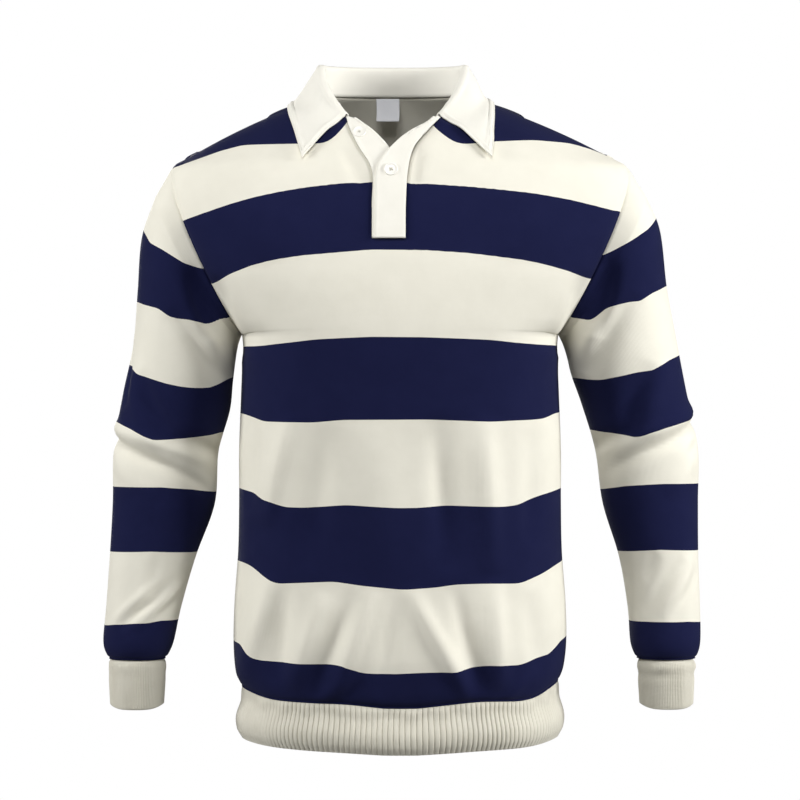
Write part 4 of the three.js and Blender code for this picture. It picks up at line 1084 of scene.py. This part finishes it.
def button(name, place, proud, turn):
    """A four-hole button with a raised rim, sewn on with crossed thread."""
    x, z = np.array(place[0], float), np.array(place[1], float)
    outward = outward_at((x, z))
    origin = Vector((float(x), float(body_y(-1, x, z)), float(z))) + outward * (proud + 0.7)
    bpy.ops.object.select_all(action="DESELECT")
    bpy.ops.mesh.primitive_cylinder_add(vertices=56, radius=BUTTON_RADIUS * MM, depth=BUTTON_THICK * MM)
    disc = bpy.context.object
    disc.name = name
    bpy.ops.object.mode_set(mode="EDIT")
    bpy.ops.mesh.select_mode(type="FACE")
    bpy.ops.mesh.select_all(action="DESELECT")
    bpy.ops.object.mode_set(mode="OBJECT")
    for face in disc.data.polygons:
        face.select = face.normal.z > 0.9
    bpy.ops.object.mode_set(mode="EDIT")
    bpy.ops.mesh.inset(thickness=1.0 * MM, depth=0.15 * MM)
    bpy.ops.mesh.inset(thickness=0.9 * MM, depth=-0.75 * MM)
    bpy.ops.mesh.inset(thickness=1.6 * MM, depth=-0.15 * MM)
    bpy.ops.object.mode_set(mode="OBJECT")
    soften = disc.modifiers.new("soften", "BEVEL")
    soften.width = 0.35 * MM
    soften.segments = 3
    soften.limit_method = "ANGLE"
    soften.angle_limit = math.radians(35)
    cutters = []
    for spot in (45, 135, 225, 315):
        where = Vector(hole_place(spot)) * MM
        bpy.ops.object.select_all(action="DESELECT")
        bpy.ops.mesh.primitive_cylinder_add(vertices=16, radius=HOLE_RADIUS * MM, depth=6 * MM, location=where)
        cutters.append(bpy.context.object)
    for cutter in cutters:
        cut = disc.modifiers.new("hole", "BOOLEAN")
        cut.object = cutter
        cut.operation = "DIFFERENCE"
        cut.solver = "EXACT"
    bpy.ops.object.select_all(action="DESELECT")
    disc.select_set(True)
    bpy.context.view_layer.objects.active = disc
    for modifier in list(disc.modifiers):
        bpy.ops.object.modifier_apply(modifier=modifier.name)
    for cutter in cutters:
        bpy.data.objects.remove(cutter, do_unlink=True)
    bpy.ops.object.shade_smooth_by_angle(angle=math.radians(38))
    turned = outward.to_track_quat("Z", "Y").to_matrix().to_4x4() @ Matrix.Rotation(math.radians(turn), 4, "Z")
    middle = origin + outward * (BUTTON_THICK / 2)
    disc.data.transform(turned)
    disc.data.transform(Matrix.Translation(middle * MM))
    points, faces = [], []
    for start, rise in ((45, 0.35), (135, 0.62)):
        first, last = np.array(hole_place(start)), np.array(hole_place(start + 180))
        for beside in (-0.32, 0.32):
            across = np.array([-(last - first)[1], (last - first)[0], 0])
            across = across / np.linalg.norm(across) * beside
            line = [lerp(first, last, share) + across + [0, 0, rise * math.sin(math.pi * share) + 0.25]
                    for share in np.linspace(0, 1, 9)]
            line = [first + across - [0, 0, 1.2], *line, last + across - [0, 0, 1.2]]
            placed = [np.array((turned @ Vector(spot)) + middle) for spot in line]
            cord_points, cord_faces = thread_cord(placed, SEWING_THREAD_RADIUS)
            faces.extend(tuple(index + len(points) for index in face) for face in cord_faces)
            points.extend(cord_points)
    sewn = solid(name + "_thread", np.array(points), faces)
    return disc, sewn


def thread_cord(line, radius):
    """A closed round cord along a line, as points and faces."""
    line = np.array(line)
    ahead = unit(np.gradient(line, axis=0))
    aside = unit(np.cross(ahead, np.array([0.3, 0.2, 0.93])))
    other = np.cross(ahead, aside)
    ring = 6
    points, faces = [], []
    for place, one, two in zip(line, aside, other):
        for turn in range(ring):
            angle = 2 * math.pi * turn / ring
            points.append(place + (one * math.cos(angle) + two * math.sin(angle)) * radius)
    for step in range(len(line) - 1):
        for turn in range(ring):
            after = (turn + 1) % ring
            low, high = step * ring, (step + 1) * ring
            faces.append((low + turn, low + after, high + after, high + turn))
    faces.append(tuple(reversed(range(ring))))
    faces.append(tuple((len(line) - 1) * ring + turn for turn in range(ring)))
    return points, faces


def neck_label():
    """The blank woven label, sewn in at the back neck seam, hanging inside."""
    seam = neck_point(np.array(0.0))
    wide, tall = 26, 26
    u, v = np.meshgrid(np.linspace(-0.5, 0.5, 27), np.linspace(0, 1, 27), indexing="ij")
    x = seam[0] - 6 + u * wide + 0.4 * np.sin(v * 3)
    z = seam[2] - 1.2 - v * tall
    y = seam[1] - COLLAR_WALL - 2.3 + 0.7 * np.sin(v * math.pi * 0.9) - 1.4 * v**2 - 1.1 * (2 * u) ** 2 * v
    rim = np.minimum(np.minimum((0.5 - np.abs(u)) * wide, (1 - v) * tall), 26)
    lift = -0.12 * bell(rim - 1.6, 0.5) + 0.1 * bell(rim, 0.7)
    index = np.arange(u.size).reshape(u.shape)
    cloth = np.stack([u * wide * MM, v * tall * MM, 0 * u], -1).reshape(-1, 3)
    points = np.stack([x, y, z], -1).reshape(-1, 3)
    return cloth_wall("label_blank", points, grid_quads(index, False), 0.7, cloth, lift.reshape(-1))


class Shader:
    """A material's nodes, with short ways to add to them."""

    def __init__(self, name, roughness, sheen=0.0):
        self.material = bpy.data.materials.new(name)
        self.material.use_nodes = True
        self.nodes, self.links = self.material.node_tree.nodes, self.material.node_tree.links
        self.surface = self.nodes["Principled BSDF"]
        self.surface.inputs["Roughness"].default_value = roughness
        self.surface.inputs["Specular IOR Level"].default_value = 0.1
        self.surface.inputs["Sheen Weight"].default_value = sheen
        self.surface.inputs["Sheen Roughness"].default_value = 0.45

    def add(self, kind, output, inputs, **settings):
        """The named output of a new node, whose inputs are values or other nodes' outputs."""
        node = self.nodes.new("ShaderNode" + kind)
        for setting, value in settings.items():
            setattr(node, setting, value)
        for socket, value in inputs.items():
            if isinstance(value, bpy.types.NodeSocket):
                self.links.new(value, node.inputs[socket])
            else:
                node.inputs[socket].default_value = value
        return node.outputs[output]

    def math(self, operation, first, second=0.0):
        return self.add("Math", 0, {0: first, 1: second}, operation=operation)

    def noise(self, scale, detail):
        place = self.add("TexCoord", "Object", {})
        return self.add("TexNoise", "Fac", {"Scale": scale, "Detail": detail, "Vector": place})

    def mix(self, low, high, share):
        return self.add("Mix", "Result", {"Factor": share, "A": low, "B": high}, data_type="RGBA")

    def cloth(self):
        """The cloth's own places: across it, along it, and which hoop."""
        held = self.add("Attribute", "Vector", {}, attribute_name="cloth")
        return [self.add("SeparateXYZ", axis, {"Vector": held}) for axis in "XYZ"]

    def bump(self, height, strength, distance, **before):
        inputs = {"Height": height, "Strength": strength, "Distance": distance, **before}
        return self.add("Bump", "Normal", inputs)

    def weave(self, across, along, pitch_across, pitch_along, strength):
        """Fine knit or weave relief along the cloth's own directions, over soft rumples."""
        wales = self.math("SINE", self.math("MULTIPLY", across, 2 * math.pi / pitch_across))
        rows = self.math("SINE", self.math("MULTIPLY", along, 2 * math.pi / pitch_along))
        fine = self.math("ADD", self.math("MULTIPLY", wales, 0.6), self.math("MULTIPLY", rows, 0.4))
        fine = self.math("ADD", fine, self.math("MULTIPLY", self.noise(900, 4), 1.4))
        rumple = self.bump(self.noise(26, 3), 0.35, 0.0022)
        return self.bump(fine, strength, 0.00022, Normal=rumple)

    def finish(self, color, normal=None):
        self.links.new(color, self.surface.inputs["Base Color"])
        if normal:
            self.links.new(normal, self.surface.inputs["Normal"])
        return self.material


CREAM_LOW, CREAM_HIGH = (0.76, 0.735, 0.635, 1), (0.83, 0.805, 0.705, 1)
NAVY_LOW, NAVY_HIGH = (0.0062, 0.0082, 0.041, 1), (0.0090, 0.0112, 0.050, 1)


def jersey_material():
    shader = Shader("striped jersey", 0.92, 0.03)
    across, along, hoops = shader.cloth()
    mottle = shader.noise(38, 5)
    part = shader.math("FRACT", shader.math("MULTIPLY", hoops, 0.5))
    is_navy = shader.math("LESS_THAN", part, 0.5)
    cream, navy = shader.mix(CREAM_LOW, CREAM_HIGH, mottle), shader.mix(NAVY_LOW, NAVY_HIGH, mottle)
    return shader.finish(shader.mix(cream, navy, is_navy), shader.weave(across, along, 0.0011, 0.0009, 0.35))


def plain_cloth(name, low, high, pitch_across, pitch_along, strength, roughness=0.92):
    shader = Shader(name, roughness, 0.1)
    across, along, _ = shader.cloth()
    color = shader.mix((*low, 1), (*high, 1), shader.noise(55, 5))
    return shader.finish(color, shader.weave(across, along, pitch_across, pitch_along, strength))


def smooth_material(name, low, high, roughness, specular):
    shader = Shader(name, roughness)
    shader.surface.inputs["Specular IOR Level"].default_value = specular
    return shader.finish(shader.mix((*low, 1), (*high, 1), shader.noise(240, 3)))


jersey = jersey_material()
rib = plain_cloth("cream rib knit", (0.66, 0.63, 0.53), (0.76, 0.735, 0.635), 0.0011, 0.0012, 0.5, 0.95)
twill = plain_cloth("cream twill", (0.81, 0.79, 0.71), (0.86, 0.84, 0.765), 0.0009, 0.0011, 0.3, 0.88)
plastic = smooth_material("ivory button", (0.86, 0.84, 0.77), (0.90, 0.88, 0.82), 0.25, 0.5)
tape = plain_cloth("white woven tape", (0.80, 0.81, 0.85), (0.86, 0.87, 0.91), 0.0005, 0.0008, 0.25, 0.7)
# Thread colour: a cream thread tone, darkened to well below the twill's so the thread in the button's holes gives
# them painted shade. Every row of stitching takes the same darkened tone.
thread = smooth_material("cream thread darkened for painted hole shade", (0.46, 0.44, 0.36), (0.56, 0.54, 0.45), 0.75, 0.2)


def dress(piece, material, slot, *nodes):
    piece.data.materials.clear()
    piece.data.materials.append(material)
    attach(piece, "root")
    if nodes:
        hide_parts(*nodes)
    return piece


# Jersey panels
front = dress(body_panel("jersey_front", -1, FRONT_FOLDS, FRONT_HOOPS), jersey, "striped_jersey", "front_body")
back = dress(body_panel("jersey_back", 1, BACK_FOLDS, BACK_HOOPS), jersey, "striped_jersey", "back_body")
sleeve_right = dress(sleeve("right"), jersey, "striped_jersey", "sleeve_right")
sleeve_left = dress(sleeve("left"), jersey, "striped_jersey", "sleeve_left")

# Rib-knit bands
hem = dress(hem_band(), rib, "rib_knit", "hem_band")
cuff_right = dress(cuff("right"), rib, "rib_knit", "cuff_right")
cuff_left = dress(cuff("left"), rib, "rib_knit", "cuff_left")

# Plackets and collar
over, *over_band = placket("twill_placket_over", OVER_EDGE, slit_left, OVER_PROUD)
under, *under_band = placket("twill_placket_under", UNDER_EDGE, slit_right, UNDER_PROUD)
dress(over, twill, "collar_twill", "placket_over")
dress(under, twill, "collar_twill", "placket_under")
neck_collar, around, lengths = collar(surface_finder([front, back, over]))
dress(neck_collar, twill, "collar_twill", "collar")

# Stitching
band_shape = over_band[0].shape
rows = {"collar_edge": (neck_collar, lengths.shape, topstitch_path(around, lengths))}
stand_rows = [(float(strip), np.interp(STAND_STITCH, lengths[strip, :LEAF_START], np.arange(LEAF_START)))
              for strip in range(lengths.shape[0])]
rows["collar_stand"] = (neck_collar, lengths.shape, np.array(stand_rows))
rows["over_seam"] = (over, band_shape, band_path(*over_band, EDGE_STITCH, 0, 200))
rows["over_free"] = (over, band_shape, band_path(*over_band, -FREE_STITCH, BOX_STITCH, 200))
rows["under_free"] = (under, band_shape, band_path(*under_band, -FREE_STITCH, 50, 200))
box_row = np.interp(BOX_STITCH, over_band[2][:, 5], np.arange(band_shape[0]))
box_columns = np.linspace(2, band_shape[1] - 3, 30)
rows["over_box"] = (over, band_shape, np.array([(box_row, column) for column in box_columns]))
for name, (piece, shape, path) in rows.items():
    dress(stitched("stitches_" + name, piece, shape, path), thread, "collar_twill")

# Buttons and label
low_button, low_thread = button("button_lower", LOW_BUTTON, OVER_PROUD, 12)
top_button, top_thread = button("button_upper", TOP_BUTTON, UNDER_PROUD, -20)
dress(low_button, plastic, "button_plastic", "button_low")
dress(top_button, plastic, "button_plastic", "button_top")
dress(low_thread, thread, "collar_twill")
dress(top_thread, thread, "collar_twill")
label = dress(neck_label(), tape, "label_tape", "neck_label")

# Lights and camera: each area light faces the middle of the shirt at a height
scene = bpy.context.scene
world = bpy.data.worlds.new("studio")
scene.world = world
world.use_nodes = True
tree = world.node_tree
ambient = tree.nodes["Background"]
ambient.inputs["Color"].default_value = (1, 1, 1, 1)
ambient.inputs["Strength"].default_value = 0.06
seen = tree.nodes.new("ShaderNodeBackground")
seen.inputs["Color"].default_value = (1, 1, 1, 1)
seen.inputs["Strength"].default_value = 1.0
ray = tree.nodes.new("ShaderNodeLightPath")
choose = tree.nodes.new("ShaderNodeMixShader")
tree.links.new(ray.outputs["Is Camera Ray"], choose.inputs["Fac"])
tree.links.new(ambient.outputs["Background"], choose.inputs[1])
tree.links.new(seen.outputs["Background"], choose.inputs[2])
tree.links.new(choose.outputs["Shader"], tree.nodes["World Output"].inputs["Surface"])


LIGHTS = table(
    "name place height size watts",
    ("key", (2.5, -0.95, 0.3), -0.35, 0.9, 76),
    ("fill", (-2.5, -0.9, 0.3), -0.35, 0.9, 50),
    ("top", (-0.1, -1.5, 1.0), -0.25, 0.8, 19),
    ("back", (-1.1, 2.6, 0.5), -0.35, 1.0, 50),
)
for light in LIGHTS:
    lamp = bpy.data.lights.new(light["name"], "AREA")
    lamp.size = light["size"]
    lamp.energy = light["watts"]
    holder = bpy.data.objects.new(light["name"], lamp)
    scene.collection.objects.link(holder)
    holder.location = light["place"]
    aim = Vector((0, 0, light["height"])) - Vector(light["place"])
    holder.rotation_euler = aim.to_track_quat("-Z", "Y").to_euler()

# Pale floor, below the shirt and out of the camera's frame
bpy.ops.object.select_all(action="DESELECT")
bpy.ops.mesh.primitive_circle_add(vertices=96, radius=0.75, fill_type="NGON", location=(0, 0, -1.6))
floor = bpy.context.object
floor.name = "floor"
paint = Shader("pale floor", 0.7)
paint.surface.inputs["Base Color"].default_value = (0.82, 0.82, 0.81, 1)
floor.data.materials.append(paint.material)

camera = bpy.data.cameras.new("camera")
camera.sensor_width = 36
camera.lens = 128.57
camera_holder = bpy.data.objects.new("camera", camera)
scene.collection.objects.link(camera_holder)
camera_holder.location = (0, -3.2, -0.362)
camera_holder.rotation_euler = (math.radians(90), 0, 0)
scene.camera = camera_holder
scene.view_settings.view_transform = "Standard"
